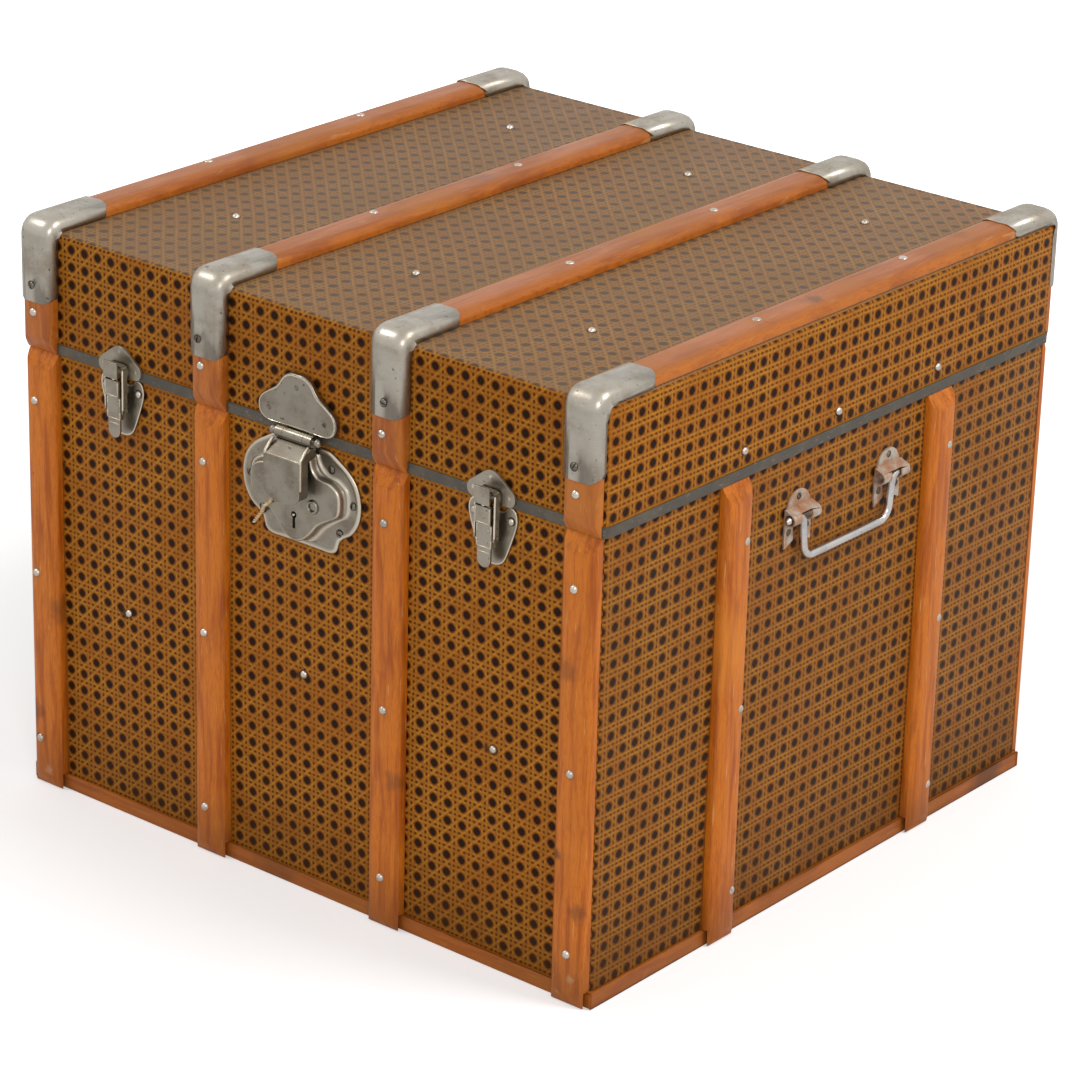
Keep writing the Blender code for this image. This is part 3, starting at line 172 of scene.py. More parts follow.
class Recipe:
    """A material or a world being put together from nodes."""

    def __init__(self, owner, shader="Principled BSDF"):
        owner.use_nodes = True
        self.owner, self.tree = owner, owner.node_tree
        self.shader = self.tree.nodes[shader]

    @cached_property
    def place(self):
        return self.add("TexCoord").outputs

    def add(self, kind, **settings):
        node = self.tree.nodes.new("ShaderNode" + kind)
        for key, value in settings.items():
            setattr(node, key, value)
        return node

    def feed(self, socket, value):
        if isinstance(value, bpy.types.NodeSocket):
            self.tree.links.new(value, socket)
        elif socket.type == "RGBA" and len(value) == 3:
            socket.default_value = (*value, 1.0)
        else:
            socket.default_value = value

    def build(self, kind, values, keys=None, out=0, **settings):
        """One output of a node whose inputs are fed with values."""
        node = self.add(kind, **settings)
        for key, value in zip(keys or range(len(values)), values):
            self.feed(node.inputs[key], value)
        return node.outputs[out]

    def reckon(self, operation, *values):
        return self.build("Math", values, operation=operation)

    plus = partialmethod(reckon, "ADD")
    less = partialmethod(reckon, "SUBTRACT")
    times = partialmethod(reckon, "MULTIPLY")
    most = partialmethod(reckon, "MAXIMUM")
    size = partialmethod(reckon, "ABSOLUTE")

    def step(self, value, low, high, to_low=0.0, to_high=1.0):
        """A soft step from to_low to to_high while the value goes from low to high."""
        given = (value, low, high, to_low, to_high)
        return self.build("MapRange", given, interpolation_type="SMOOTHSTEP")

    def mix(self, share, a, b, blend="MIX"):
        return self.build("Mix", (share, a, b), (0, 6, 7), 2, data_type="RGBA", blend_type=blend)

    def blend(self, share, a, b):
        return self.build("Mix", (share, a, b), (0, 2, 3), data_type="FLOAT")

    def split(self, vector):
        node = self.add("SeparateXYZ")
        self.feed(node.inputs[0], vector)
        return node.outputs

    def spot(self, stretch=(1, 1, 1), shift=(0, 0, 0)):
        """The point on the piece, in metres, stretched for long grain."""
        given = (self.place["Object"], shift, stretch)
        return self.build("Mapping", given, ("Vector", "Location", "Scale"))

    def noise(self, spot, scale, detail=3.0, rough=0.5, warp=0.0):
        keys = ("Vector", "Scale", "Detail", "Roughness", "Distortion")
        return self.build("TexNoise", (spot, scale, detail, rough, warp), keys)

    def washes(self, colour, *layers):
        """A colour washed over with others, each by a soft step over its field."""
        for *field, new in layers:
            colour = self.mix(self.step(*field), colour, new)
        return colour

    def patches(self, colour, marks, new):
        """A colour with ragged patches, each a point, a radius and a strength."""
        here = self.place["Object"]
        for point, radius, strength in marks:
            away = self.build("VectorMath", (here, point), out="Value", operation="DISTANCE")
            uneven = self.plus(self.times(self.noise(here, 1.8 / radius, 4.0), 2.0), 0.1)
            patch = self.step(self.times(away, uneven), radius * 0.25, radius, strength, 0.0)
            colour = self.mix(patch, colour, new)
        return colour

    def done(self, colour, rough, bump=(), metallic=0.0, specular=0.5):
        """The finished material; bump is a height, its strength and its distance."""
        given = {"Base Color": colour, "Roughness": rough, "Metallic": metallic,
                 "Specular IOR Level": specular}
        if bump:
            given["Normal"] = self.build("Bump", bump, ("Height", "Strength", "Distance"))
        for name, value in given.items():
            self.feed(self.shader.inputs[name], value)
        return self.owner


def material(name):
    return Recipe(bpy.data.materials.new(name))


def shared(name, make):
    """A finish is made the first time it is asked for, and shared after that."""
    return bpy.data.materials.get(name) or make(name)


def tone(colour, *shares):
    """A colour made lighter, darker or cooler."""
    return [min(1.0, share * part) for share, part in zip(shares * 3, colour)]


# The larger scuffs on the canvas: where, how wide and how strong
CANVAS_SCUFFS = [
    ((0.2765, 0.174 + SHIFT, 0.402), 0.0075, 0.8), ((-0.1815, FRONT, 0.1655), 0.0070, 0.8),
    ((-0.0030, FRONT, 0.1700), 0.0055, 0.8), ((0.1760, FRONT, 0.1690), 0.0050, 0.8),
    ((-0.243, FRONT, 0.268), 0.0045, 0.8),
]
THREAD = 0.0011


def cane_print(name, front_start, side_start, top_start):
    """Printed cane-work: dark holes between pairs of crossing strands."""
    look = bpy.context.scene.trunk_canvas
    made = material(name)
    x, y, z = made.split(made.place["Object"])
    nx, _, nz = made.split(made.place["Normal"])
    on_side = made.reckon("GREATER_THAN", made.size(nx), 0.7)
    on_top = made.reckon("GREATER_THAN", made.size(nz), 0.7)

    def pick(front, side, top):
        return made.blend(on_top, made.blend(on_side, front, side), top)

    slip = made.times(made.less(made.noise(made.spot(), 60.0, 2.0), 0.5), 0.0009)
    slow = made.noise(made.spot(shift=(3, 1, 2)), 7.0, 1.0)
    drift = made.plus(slip, made.times(made.less(slow, 0.5), 0.003))
    cells, threads = [], []
    for n, way in enumerate(((x, y, x), (z, z, y))):
        along = pick(*way)
        start = pick(front_start[n], side_start[n], top_start[n])
        run = made.less(made.plus(along, drift), start)
        cell = made.reckon("FRACT", made.plus(made.reckon("DIVIDE", run, look.pitch), 0.5))
        cells.append(made.less(cell, 0.5))
        threads.append(made.reckon("SINE", made.times(along, 2 * math.pi / THREAD)))
    u, v = cells
    au, av = made.size(u), made.size(v)
    farther = made.most(au, av)
    reach = made.most(farther, made.times(made.plus(au, av), 0.74))
    hole = made.step(reach, look.hole - 0.022, look.hole + 0.018, 1.0, 0.0)

    # straight strands lie in pairs; the two diagonals cut the holes' corners
    upright, level = (
        made.step(made.size(made.less(a, 0.37)), 0.0484, 0.088, 1.0, 0.0) for a in (au, av)
    )
    rising, falling = (
        made.size(made.less(made.size(slant), 0.5)) for slant in (made.less(u, v), made.plus(u, v))
    )
    turned = pick(0.0, 1.0, 1.0)
    over = made.blend(turned, rising, falling)
    under = made.blend(turned, falling, rising)

    # small red-brown gaps lie in rows along the middle of each pair
    beats = made.reckon("COSINE", made.times(made.reckon("MINIMUM", au, av), 6 * math.pi))
    gaps = made.times(made.step(farther, 0.400, 0.450), made.step(beats, -0.80, 0.10, 1.0, 0.0))
    body = made.mix(made.most(upright, level), look.ground, look.strand)
    body = made.mix(made.times(level, pick(0.15, 0.42, 0.15)), body, look.light)
    for lines, shares in ((under, (0.42, 0.16, 0.50)), (over, (0.55, 0.32, 0.60))):
        share = pick(*shares)
        edge = made.step(made.size(made.less(lines, 0.127)), 0.012, 0.032, 0.6, 0.0)
        body = made.mix(made.times(edge, share), body, look.ground)
        core = made.step(lines, 0.08, 0.115, 1.0, 0.0)
        body = made.mix(made.times(core, share), body, look.light)
        if lines is under:
            body = made.mix(made.times(gaps, pick(0.95, 0.70, 0.85)), body, look.gap)
    shade = made.noise(made.spot(shift=(2, 9, 5)), 420.0, 2.0)
    tint = made.noise(made.spot(shift=(5, 5, 5)), 22.0, 3.0)
    body = made.washes(
        body, (shade, 0.42, 0.66, 0.0, 0.35, look.ground),
        (tint, 0.35, 0.70, 0.0, 0.40, (0.270, 0.068, 0.0050)),
    )
    body = made.mix(on_top, body, (0.80, 0.88, 0.95), "MULTIPLY")
    blot = made.noise(made.spot(), 90.0, 2.0)
    ink = made.washes(look.dark, (blot, 0.35, 0.7, 0.0, 1.0, (0.022, 0.007, 0.002)))
    wear = made.noise(made.spot(shift=(1, 2, 3)), 9.0, 5.0, 0.6)
    specks = made.noise(made.spot(shift=(7, 2, 9)), 240.0, 2.0, 0.5)
    colour = made.washes(
        made.mix(hole, body, ink), (wear, 0.56, 0.80, 0.0, 0.20, (0.230, 0.105, 0.036)),
        (specks, 0.66, 0.78, 0.0, 0.40, (0.040, 0.015, 0.005)),
    )
    # Pale dust on faces that look up, which also stands as a painted sheen on the top
    dust_and_sheen = made.times(made.step(nz, 0.6, 0.9), made.step(wear, 0.25, 0.75, 0.38, 0.56))
    colour = made.mix(dust_and_sheen, colour, (0.208, 0.153, 0.102))
    # Painted shade: the lid's upright front and back faces are darker, as in the lid's own shadow
    lid_face_shade = made.times(made.step(z, PARTING, PARTING + 0.002), pick(1.0, 0.0, 0.0))
    colour = made.mix(lid_face_shade, colour, (0.90, 0.88, 0.80), "MULTIPLY")
    # The end faces are washed toward grey-brown below the lid
    end_greying = made.times(on_side, made.step(z, 0.30, 0.40, 0.16, 0.0))
    colour = made.mix(end_greying, colour, (0.082, 0.064, 0.045))
    # Darker towards the bottom, unevenly
    uneven_dark = made.times(made.step(z, 0.0, 0.110, 0.38, 0.0), made.step(wear, 0.3, 0.6, 0.6, 1.0))
    colour = made.mix(uneven_dark, colour, (0.060, 0.022, 0.004))
    colour = made.patches(colour, CANVAS_SCUFFS, (0.018, 0.010, 0.006))
    waves = made.times(made.noise(made.spot(), 35.0, 4.0), 0.9)
    height = made.plus(made.times(made.times(*threads), 0.25), waves)
    rough = made.step(wear, 0.3, 0.75, 0.36, 0.52)
    return made.done(colour, rough, (height, 0.35, 0.0006), specular=0.07)


def slat_varnish(name, stretch, shift, stains=(), chips=(), top_darkening=0.0):
    """Orange-brown varnished hardwood with fine grain, scratches and stains."""
    look = bpy.context.scene.trunk_wood
    made = material(name)
    grain = made.noise(made.spot(stretch, shift), 26.0, 6.0, 0.62, 0.5)
    fine = made.noise(made.spot([4 * s for s in stretch], shift), 60.0, 4.0, 0.6)
    broad = made.noise(made.spot(shift=shift), 11.0, 3.0, 0.55)
    marks = made.noise(made.spot(shift=(2, 7, 4)), 33.0, 6.0, 0.72)
    scratch = made.noise(made.spot([0.55 * s for s in stretch], (9, 3, 1)), 130.0, 2.0, 0.4)
    colour = made.washes(
        look.slat,
        (grain, 0.42, 0.68, 0.0, 1.0, look.grain),
        (fine, 0.48, 0.66, 0.0, 0.55, look.grain),
        (broad, 0.52, 0.74, 0.0, 0.42, (0.740, 0.262, 0.030)),
        (broad, 0.26, 0.42, 0.45, 0.0, (0.400, 0.098, 0.009)),
        (marks, 0.66, 0.78, 0.0, 0.75, look.stain),
        (scratch, 0.68, 0.76, 0.0, 0.5, (0.700, 0.400, 0.150)),
    )
    colour = made.patches(colour, stains, look.stain)
    colour = made.patches(colour, chips, (0.690, 0.480, 0.300))
    # Faces that look up are darker
    if top_darkening:
        up = made.step(made.split(made.place["Normal"])[2], 0.4, 0.95, 0.5 * top_darkening, top_darkening)
        veil = made.times(up, made.step(broad, 0.2, 0.7, 0.65, 1.0))
        colour = made.mix(veil, colour, (0.215, 0.080, 0.028))
    # Darker towards the bottom, unevenly
    foot = made.step(made.split(made.place["Object"])[2], 0.0, 0.060, 0.62, 0.0)
    uneven_dark = made.times(foot, made.step(broad, 0.2, 0.6, 0.5, 1.0))
    colour = made.mix(uneven_dark, colour, (0.200, 0.062, 0.012))
    height = made.plus(made.times(fine, 0.5), made.times(grain, 0.8))
    rough = made.plus(made.step(broad, 0.3, 0.7, 0.30, 0.46), made.step(marks, 0.6, 0.8, 0.0, 0.2))
    return made.done(colour, rough, (height, 0.30, 0.0005), specular=0.26)


def board_timber(name, along):
    """Bare softwood boards, pale with soft brown grain along one axis."""
    look = bpy.context.scene.trunk_wood
    made = material(name)
    wide, narrow = (
        [length if n == along else breadth for n in range(3)]
        for length, breadth in ((0.9, 14.0), (2.0, 50.0))
    )
    grain = made.noise(made.spot(wide), 9.0, 6.0, 0.6, 0.5)
    fine = made.noise(made.spot(narrow), 20.0, 3.0)
    patch = made.noise(made.spot(), 5.0, 3.0)
    colour = made.washes(
        look.board,
        (grain, 0.42, 0.66, 0.0, 1.0, look.board_grain),
        (fine, 0.5, 0.7, 0.0, 0.4, look.board_grain),
        (patch, 0.5, 0.75, 0.0, 0.5, (0.330, 0.215, 0.120)),
    )
    return made.done(colour, made.step(patch, 0.3, 0.7, 0.72, 0.86), (fine, 0.3, 0.0004))


def plating(name, bright, tarnish, share, smooth, rough, rust=None, metallic=1.0):
    """Old plated steel: cloudy, with fine scratches, pits and tarnish."""
    made = material(name)
    cloud = made.noise(made.spot(shift=(4, 4, 1)), 42.0, 5.0, 0.62)
    fine = made.noise(made.spot(shift=(1, 8, 3)), 420.0, 3.0, 0.6)
    scratch = made.noise(made.spot((1.0, 1.0, 9.0), (3, 1, 6)), 190.0, 2.0, 0.5)
    pits = made.noise(made.spot(shift=(6, 6, 2)), 300.0, 2.0, 0.5)
    colour = made.washes(
        bright,
        (cloud, 0.40, 0.68, 0.0, share, tarnish),
        (scratch, 0.60, 0.72, 0.0, 0.30, tone(bright, 1.5)),
        (pits, 0.66, 0.76, 0.0, 0.7, tone(tarnish, 0.35)),
    )
    # Marked points are lighter: rubbed wear, and a painted highlight on rims and edges
    worn = made.add("Attribute", attribute_name="worn").outputs["Fac"]
    colour = made.mix(made.times(worn, 0.85), colour, tone(bright, 2.3))
    if rust:
        bloom = made.noise(made.spot(shift=(2, 5, 8)), 75.0, 6.0, 0.65)
        colour = made.washes(
            colour, (bloom, 0.38, 0.60, 0.0, 0.95, rust),
            (bloom, 0.62, 0.74, 0.0, 0.6, tone(rust, 0.45)),
        )
    level = made.plus(made.step(cloud, 0.35, 0.7, smooth, rough), made.times(fine, 0.08))
    height = made.plus(cloud, made.times(made.step(pits, 0.6, 0.8), -0.6))
    return made.done(colour, level, (height, 0.22, 0.0005), metallic)


def metal(name):
    """One of the trunk's plated finishes."""
    look = bpy.context.scene.trunk_metal
    cool = tone(look.bare, 0.98, 1.06, 1.20)
    kinds = {
        "cap_plating": (look.cap, tone(look.patina, 1.6), 0.45, 0.27, 0.42),
        "lock_plating": (look.lock, look.patina, 0.50, 0.26, 0.40),
        "latch_plating": (tone(look.lock, 1.22), look.patina, 0.35, 0.24, 0.36),
        "screw_steel": (tone(look.lock, 0.62), tone(look.patina, 0.5), 0.60, 0.28, 0.42),
        "nail_steel": (look.bare, tone(look.bare, 0.45), 0.70, 0.20, 0.34),
        "rod_steel": (cool, tone(cool, 0.55), 0.45, 0.20, 0.34),
        "bracket_rust": (tone(look.cap, 1.22), look.patina, 0.25, 0.40, 0.62, look.rust, 0.55),
    }
    return shared(name, lambda name: plating(name, *kinds[name]))


def shadow_and_grime_metal(name):
    """Near-black painted shadow inside a keyhole or slot, also the grime and painted shadow round
    the heads.
    """
    made = material(name)
    uneven_dark = made.noise(made.spot(), 160.0, 3.0)
    colour = made.mix(made.step(uneven_dark, 0.35, 0.7), (0.012, 0.010, 0.008), (0.040, 0.030, 0.020))
    return made.done(colour, made.step(uneven_dark, 0.3, 0.7, 0.6, 0.85), metallic=0.3)


def band_paint(name):
    """Dark painted band, rubbed back to metal in specks along its edge."""
    made = material(name)
    cloud = made.noise(made.spot(), 48.0, 5.0, 0.65)
    rub = made.noise(made.spot((1, 1, 3), (2, 2, 2)), 150.0, 4.0, 0.6)
    colour = made.washes(
        bpy.context.scene.trunk_metal.band,
        (cloud, 0.4, 0.7, 0.0, 0.7, (0.145, 0.118, 0.085)),
        (rub, 0.60, 0.72, 0.0, 0.6, (0.260, 0.235, 0.195)),
        (rub, 0.26, 0.38, 0.6, 0.0, (0.055, 0.030, 0.016)),
    )
    return made.done(colour, made.step(cloud, 0.3, 0.7, 0.38, 0.60), (rub, 0.3, 0.0004), 0.35)


def twine_fibre(name):
    """Pale hemp yarn with fine lengthwise fibres."""
    made = material(name)
    fuzz = made.noise(made.spot(), 900.0, 4.0, 0.7, 0.4)
    broad = made.noise(made.spot(), 160.0, 2.0)
    colour = made.washes(
        (0.800, 0.600, 0.340),
        (fuzz, 0.35, 0.65, 0.0, 1.0, (0.480, 0.310, 0.140)),
        (broad, 0.5, 0.7, 0.0, 0.5, (0.900, 0.740, 0.480)),
    )
    return made.done(colour, 0.88, (fuzz, 0.7, 0.0004))


# --------------------------------------------------------------- mesh work


def shaded(name, bm, finish, angle=60.0):
    """An object from a mesh, shaded smooth but for its sharp edges."""
    bmesh.ops.recalc_face_normals(bm, faces=bm.faces)
    mesh = bpy.data.meshes.new(name)
    bm.to_mesh(mesh)
    bm.free()
    mesh.shade_smooth()
    mesh.set_sharp_from_angle(angle=math.radians(angle))
    mesh.materials.append(finish)
    obj = bpy.data.objects.new(name, mesh)
    bpy.context.scene.collection.objects.link(obj)
    return obj


def settle(obj, body):
    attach(obj, body)
    return obj


def fitted(name, bm, finish, body, angle=60.0):
    return settle(shaded(name, bm, finish, angle), body)


def refined(node, finish, edge=0.0004, segments=2, smooth=40.0, rounds=0, flat=0.6, even=True):
    """The frame's own form with eased edges and smooth curves, in its finish."""
    bm = bmesh.new()
    bm.from_mesh(frame["nodes"][node].data)
    bmesh.ops.remove_doubles(bm, verts=bm.verts, dist=SAME_SPOT)
    bmesh.ops.dissolve_limit(
        bm, angle_limit=math.radians(flat), verts=bm.verts, edges=bm.edges, delimit=set()
    )
    obj = shaded(node + "_finished", bm, finish, smooth)
    if edge:
        ease = obj.modifiers.new("eased edges", "BEVEL")
        ease.width, ease.segments = edge, segments
        ease.limit_method, ease.angle_limit = "ANGLE", math.radians(smooth)
        ease.use_clamp_overlap = True
    if edge and even:
        obj.modifiers.new("even shading", "WEIGHTED_NORMAL").mode = "FACE_AREA_WITH_ANGLE"
    if rounds:
        more = obj.modifiers.new("rounder", "SUBSURF")
        more.levels = more.render_levels = rounds
    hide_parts(node)
    return settle(obj, BODY_OF[node])


def facing(normal, turn=0.0):
    """A turn that takes +Z to a face's outward direction."""
    way = Vector(normal).to_track_quat("Z", "Y").to_matrix().to_4x4()
    return way @ Matrix.Rotation(turn, 4, "Z")


def bridge(bm, rows, closed=True, looped=False):
    """Faces between rows of vertices; closed rows run round, and looped ones end at the first."""
    end = 1 if closed else 0
    return [
        bm.faces.new(corners)
        for one, two in zip(rows, rows[1:] + (rows[:1] if looped else []))
        for corners in zip(one, one[1:] + one[:end], two[1:] + two[:end], two)
    ]


def tube(bm, rows):
    """A tube through round rows of vertices, shut at both ends."""
    bridge(bm, rows)
    bm.faces.new(rows[0][::-1])
    bm.faces.new(rows[-1])


def turns(count, start=0.0):
    """Even turns round a full circle, as pairs of cosine and sine."""
    angles = [start + 2 * math.pi * n / count for n in range(count)]
    return [(math.cos(a), math.sin(a)) for a in angles]


def rubbed_and_highlit_layer(bm):
    """How far each point is rubbed bright and given a painted highlight, which the plating reads.
    """
    return bm.verts.layers.float.get("worn") or bm.verts.layers.float.new("worn")


def dome(bm, spot, normal, radius, height, dent=0.0, seed=0, sides=14):
    """A domed nail or rivet head whose rim sinks into what it holds."""
    chance = random.Random(seed)
    place = Matrix.Translation(spot) @ facing(normal, chance.uniform(0, 6.28))
    lean = chance.uniform(-dent, dent), chance.uniform(-dent, dent)
    crown = [(math.cos(a), math.sin(a)) for a in (math.pi / 10 * n for n in range(1, 5))]
    rows = []
    for share, rise in [(1.0, -0.18), (1.0, 0.02), *crown]:
        row = []
        for c, s in turns(sides):
            x, y = share * c * radius, share * s * radius
            tilt = lean[0] * x + lean[1] * y if rise > 0.1 else 0.0
            row.append(bm.verts.new(place @ Vector((x, y, rise * height + tilt))))
        rows.append(row)
    bridge(bm, rows)
    tip = bm.verts.new(place @ Vector((0, 0, height * (1 - dent))))
    for a, b in zip(rows[-1], rows[-1][1:] + rows[-1][:1]):
        bm.faces.new((a, b, tip))
    bm.faces.new(rows[0][::-1])


def slotted(bm, spot, normal, radius, height, turn):
    """An oval-headed screw with one driver slot across it."""
    place = Matrix.Translation(spot) @ facing(normal, turn)
    slot = radius * 0.16
    left = [(share * radius, False) for share in (-1.0, -0.86, -0.6, -0.34)]
    left += [(-slot, False), (-slot * 0.9, True)]
    grid = []
    for x, deep in left + [(-x, deep) for x, deep in reversed(left)]:
        half = max(math.sqrt(max(radius * radius - x * x, 0.0)), radius * 0.12)
        column = []
        for share in (-1.0, -0.8, -0.4, 0.0, 0.4, 0.8, 1.0):
            y = share * half
            out = min(1.0, (x * x + y * y) / (radius * radius))
            z = height * math.sqrt(1 - out * 0.98)
            z = min(z, height * 0.15) if deep else z
            column.append(bm.verts.new(place @ Vector((x, y, z))))
        grid.append(column)
    bridge(bm, grid, closed=False)
    edge = [column[0] for column in grid] + grid[-1][1:] + [c[-1] for c in grid[-2::-1]]
    edge += grid[0][-2:0:-1]
    down = place.to_3x3() @ Vector((0, 0, height * 0.9))
    sunk = [bm.verts.new(vert.co - down) for vert in edge]
    bridge(bm, [edge, sunk])
    bm.faces.new(sunk)


def seat(bm, spot, normal, radius, seed):
    """A thin uneven dark ring round a head: grime, with painted shadow where the head meets the
    surface.
    """
    chance = random.Random(seed)
    place = Matrix.Translation(spot) @ facing(normal)
    drift = Vector((chance.uniform(-0.12, 0.12), chance.uniform(-0.12, 0.12), 0)) * radius
    rim = []
    for c, s in turns(18):
        reach = radius * (1.13 + chance.uniform(-0.03, 0.06))
        rim.append(bm.verts.new(place @ (Vector((reach * c, reach * s, DARK_RING_RISE)) + drift)))
    bm.faces.new(rim).material_index = 1


def studs(name, places, normal, width, body, rise=0.42, finish=None):
    """Domed heads as one piece, or slotted ones where the name ends in screws."""
    slots = name.endswith("screws")
    seed = sum((n + 1) * ord(c) for n, c in enumerate(name))
    bm, chance = bmesh.new(), random.Random(seed)
    for n, spot in enumerate(places):
        if slots:
            slotted(bm, spot, normal, width / 2, width * 0.22, chance.uniform(0, math.pi))
        else:
            dome(bm, spot, normal, width / 2, width * rise, 0.05, seed + n)
        seat(bm, spot, normal, width / 2, seed + n)
    finish = finish or metal("screw_steel" if slots else "nail_steel")
    made = fitted(name, bm, finish, body, 35 if slots else 60)
    made.data.materials.append(shared("shadow_and_grime_metal", shadow_and_grime_metal))


# ---------------------------------------------------------------- outlines


def curve_through(points, steps=3):
    """A smooth line through points, keeping its two ends."""
    held = [points[0], *points, points[-1]]
    out = []
    for a, b, c, d in zip(held, held[1:], held[2:], held[3:]):
        a, b, c, d = Vector(a), Vector(b), Vector(c), Vector(d)
        for n in range(steps):
            t = n / steps
            out.append(
                0.5 * (2 * b + (c - a) * t + (2 * a - 5 * b + 4 * c - d) * t**2
                       + (3 * b - a - 3 * c + d) * t**3)
            )
    return out + [Vector(points[-1])]


def mirrored(shares, width, height, low):
    """A closed outline from the shares of its right half."""
    half = curve_through([(x * width / 2, low + z * height) for x, z in shares])
    right = [tuple(p) for p in half if p[0] > 0.0003]
    left = [(-x, z) for x, z in reversed(right)]
    return [(0.0, half[0][1])] + right + [(0.0, half[-1][1])] + left


def reach_of(outline, centre, count):
    """How far a closed outline lies from a centre, at even turns."""
    out = []
    pairs = list(zip(outline, outline[1:] + outline[:1]))
    for ux, uz in turns(count, -math.pi / 2):
        best = 0.0
        for (x1, z1), (x2, z2) in pairs:
            x1, z1, x2, z2 = x1 - centre[0], z1 - centre[1], x2 - centre[0], z2 - centre[1]
            ex, ez = x2 - x1, z2 - z1
            cross = ux * ez - uz * ex
            if abs(cross) > 1e-12:
                along = (x1 * ez - z1 * ex) / cross
                share = (x1 * uz - z1 * ux) / cross
                if along > best and -1e-6 <= share <= 1 + 1e-6:
                    best = along
        out.append((ux, uz, best))
    return out


# --------------------------------------------------------- the lock's case

CASE_LOW, CASE_HEIGHT = 0.275, 0.078
FLANGE_WIDTH, CASE_WIDTH = 0.114, 0.086
FLANGE_SHARES = [
    (0.0, 0.0), (0.30, 0.0), (0.50, 0.0), (0.60, 0.04), (0.64, 0.13),
    (0.72, 0.19), (0.85, 0.25), (0.96, 0.37), (1.0, 0.50), (0.99, 0.62),
    (0.93, 0.74), (0.80, 0.85), (0.63, 0.93), (0.48, 0.99), (0.36, 1.0), (0.0, 1.0),
]
CASE_SHARES = [
    (0.0, 0.045), (0.16, 0.075), (0.34, 0.155), (0.52, 0.27), (0.82, 0.375),
    (0.95, 0.42), (1.0, 0.49), (1.0, 0.60), (0.96, 0.66), (0.90, 0.69),
    (0.77, 0.725), (0.61, 0.735), (0.50, 0.75), (0.42, 0.79), (0.375, 0.84),
    (0.35, 0.90), (0.26, 0.95), (0.0, 0.97),
]
CASE_FACE = 0.0093
KEY_Z, EYE_X, EYE_Z, EYE_RADIUS, EYE_WIRE = 0.2993, 0.018, 0.310, 0.0042, 0.0013
STAPLE_Z = 0.3247
STAPLE_SLOT = [(-0.004, -0.0055), (0.004, -0.0055), (0.004, 0.0095), (-0.004, 0.0095)]

# Steps of the pressed sheet: how far in from the flange's edge, height and wear; the wear also
# paints a highlight on the rolled rim
RIM_STEPS = [
    (0.0, 0.0004, 0.0), (0.0, 0.0012, 0.3), (0.0003, 0.0017, 0.9), (0.0009, 0.0021, 1.0),
    (0.0019, 0.0024, 0.9), (0.0030, 0.0022, 0.25), (0.0041, 0.0018, 0.0), (0.0052, 0.0017, 0.0),
]
# Steps up to the raised case: how far out from its outline, height and wear; the wear also paints
# highlights on the ridges
WALL_STEPS = [
    (0.0062, 0.0018, 0.0), (0.0051, 0.0021, 0.1), (0.0042, 0.0030, 0.7), (0.0034, 0.0037, 0.9),
    (0.0025, 0.0038, 0.7), (0.0017, 0.0037, 0.1), (0.0009, 0.0043, 0.1), (0.0003, 0.0058, 0.3),
    (0.0, 0.0076, 0.6), (-0.0005, 0.0087, 1.0), (-0.0012, 0.0092, 0.7), (-0.0020, CASE_FACE, 0.0),
]


def on_front(x, stand, z):
    """A point given by its distance out from the front canvas."""
    return Vector((x, FRONT_FACE_Y - stand, z))


def keyhole_outline():
    """Round above and a straight slot below."""
    out = [(0.0013, KEY_Z - 0.0104), (0.0013, KEY_Z - 0.0022)]
    for n in range(13):
        a = math.radians(-58 + 296 * n / 12)
        out.append((0.0026 * math.cos(a), KEY_Z + 0.0026 * math.sin(a)))
    return out + [(-x, z) for x, z in reversed(out[:2])]


def pressed_case():
    """Flange with a rolled rim, a stepped wall and a face with its openings."""
    bm = bmesh.new()
    worn = rubbed_and_highlit_layer(bm)
    middle_z, count = CASE_LOW + CASE_HEIGHT * 0.52, 150
    flange, case = (
        reach_of(mirrored(shares, width, CASE_HEIGHT, CASE_LOW), (0.0, middle_z), count)
        for shares, width in ((FLANGE_SHARES, FLANGE_WIDTH), (CASE_SHARES, CASE_WIDTH))
    )
    rows = [([r - inward for *_, r in flange], *rest) for inward, *rest in RIM_STEPS]
    for outward, height, wear in WALL_STEPS:
        reaches = []
        for (_, _, limit), (_, _, r) in zip(flange, case):
            room = limit - 0.0052 if outward > 0 else limit
            least = r + min(outward, 0.0) + 0.00005 * (1 + outward * 900)
            reaches.append(min(r + outward, max(room, least)))
        rows.append((reaches, height, wear))
    loops = []
    for reaches, height, wear in rows:
        loop = []
        for (ux, uz, _), r in zip(flange, reaches):
            vert = bm.verts.new(on_front(ux * r, height, middle_z + uz * r))
            vert[worn] = wear
            loop.append(vert)
        loops.append(loop)
    bridge(bm, loops)
    staple = [(x, STAPLE_Z + z) for x, z in STAPLE_SLOT]
    edges = [bm.edges.get(ends) for ends in zip(loops[-1], loops[-1][1:] + loops[-1][:1])]
    for outline, deep in ((keyhole_outline(), 0.0019), (staple, 0.0046)):
        rim, low = (
            [bm.verts.new(on_front(x, out, z)) for x, z in outline] for out in (CASE_FACE, deep)
        )
        edges += [bm.edges.new(ends) for ends in zip(rim, rim[1:] + rim[:1])]
        # The walls and floor of each opening are near-black: painted shadow
        for face in [*bridge(bm, [rim, low]), bm.faces.new(low)]:
            face.material_index = 1
    bmesh.ops.triangle_fill(bm, use_beauty=True, edges=edges, normal=(0, -1, 0))
    bm.faces.new(loops[0][::-1])
    return bm


def torus(bm, spot, normal, radius, wire):
    place = Matrix.Translation(spot) @ facing(normal)
    rows = []
    for c, s in turns(36):
        reaches = [(radius + wire * a, wire * b) for a, b in turns(12)]
        rows.append([bm.verts.new(place @ Vector((r * c, r * s, z))) for r, z in reaches])
    bridge(bm, rows, looped=True)


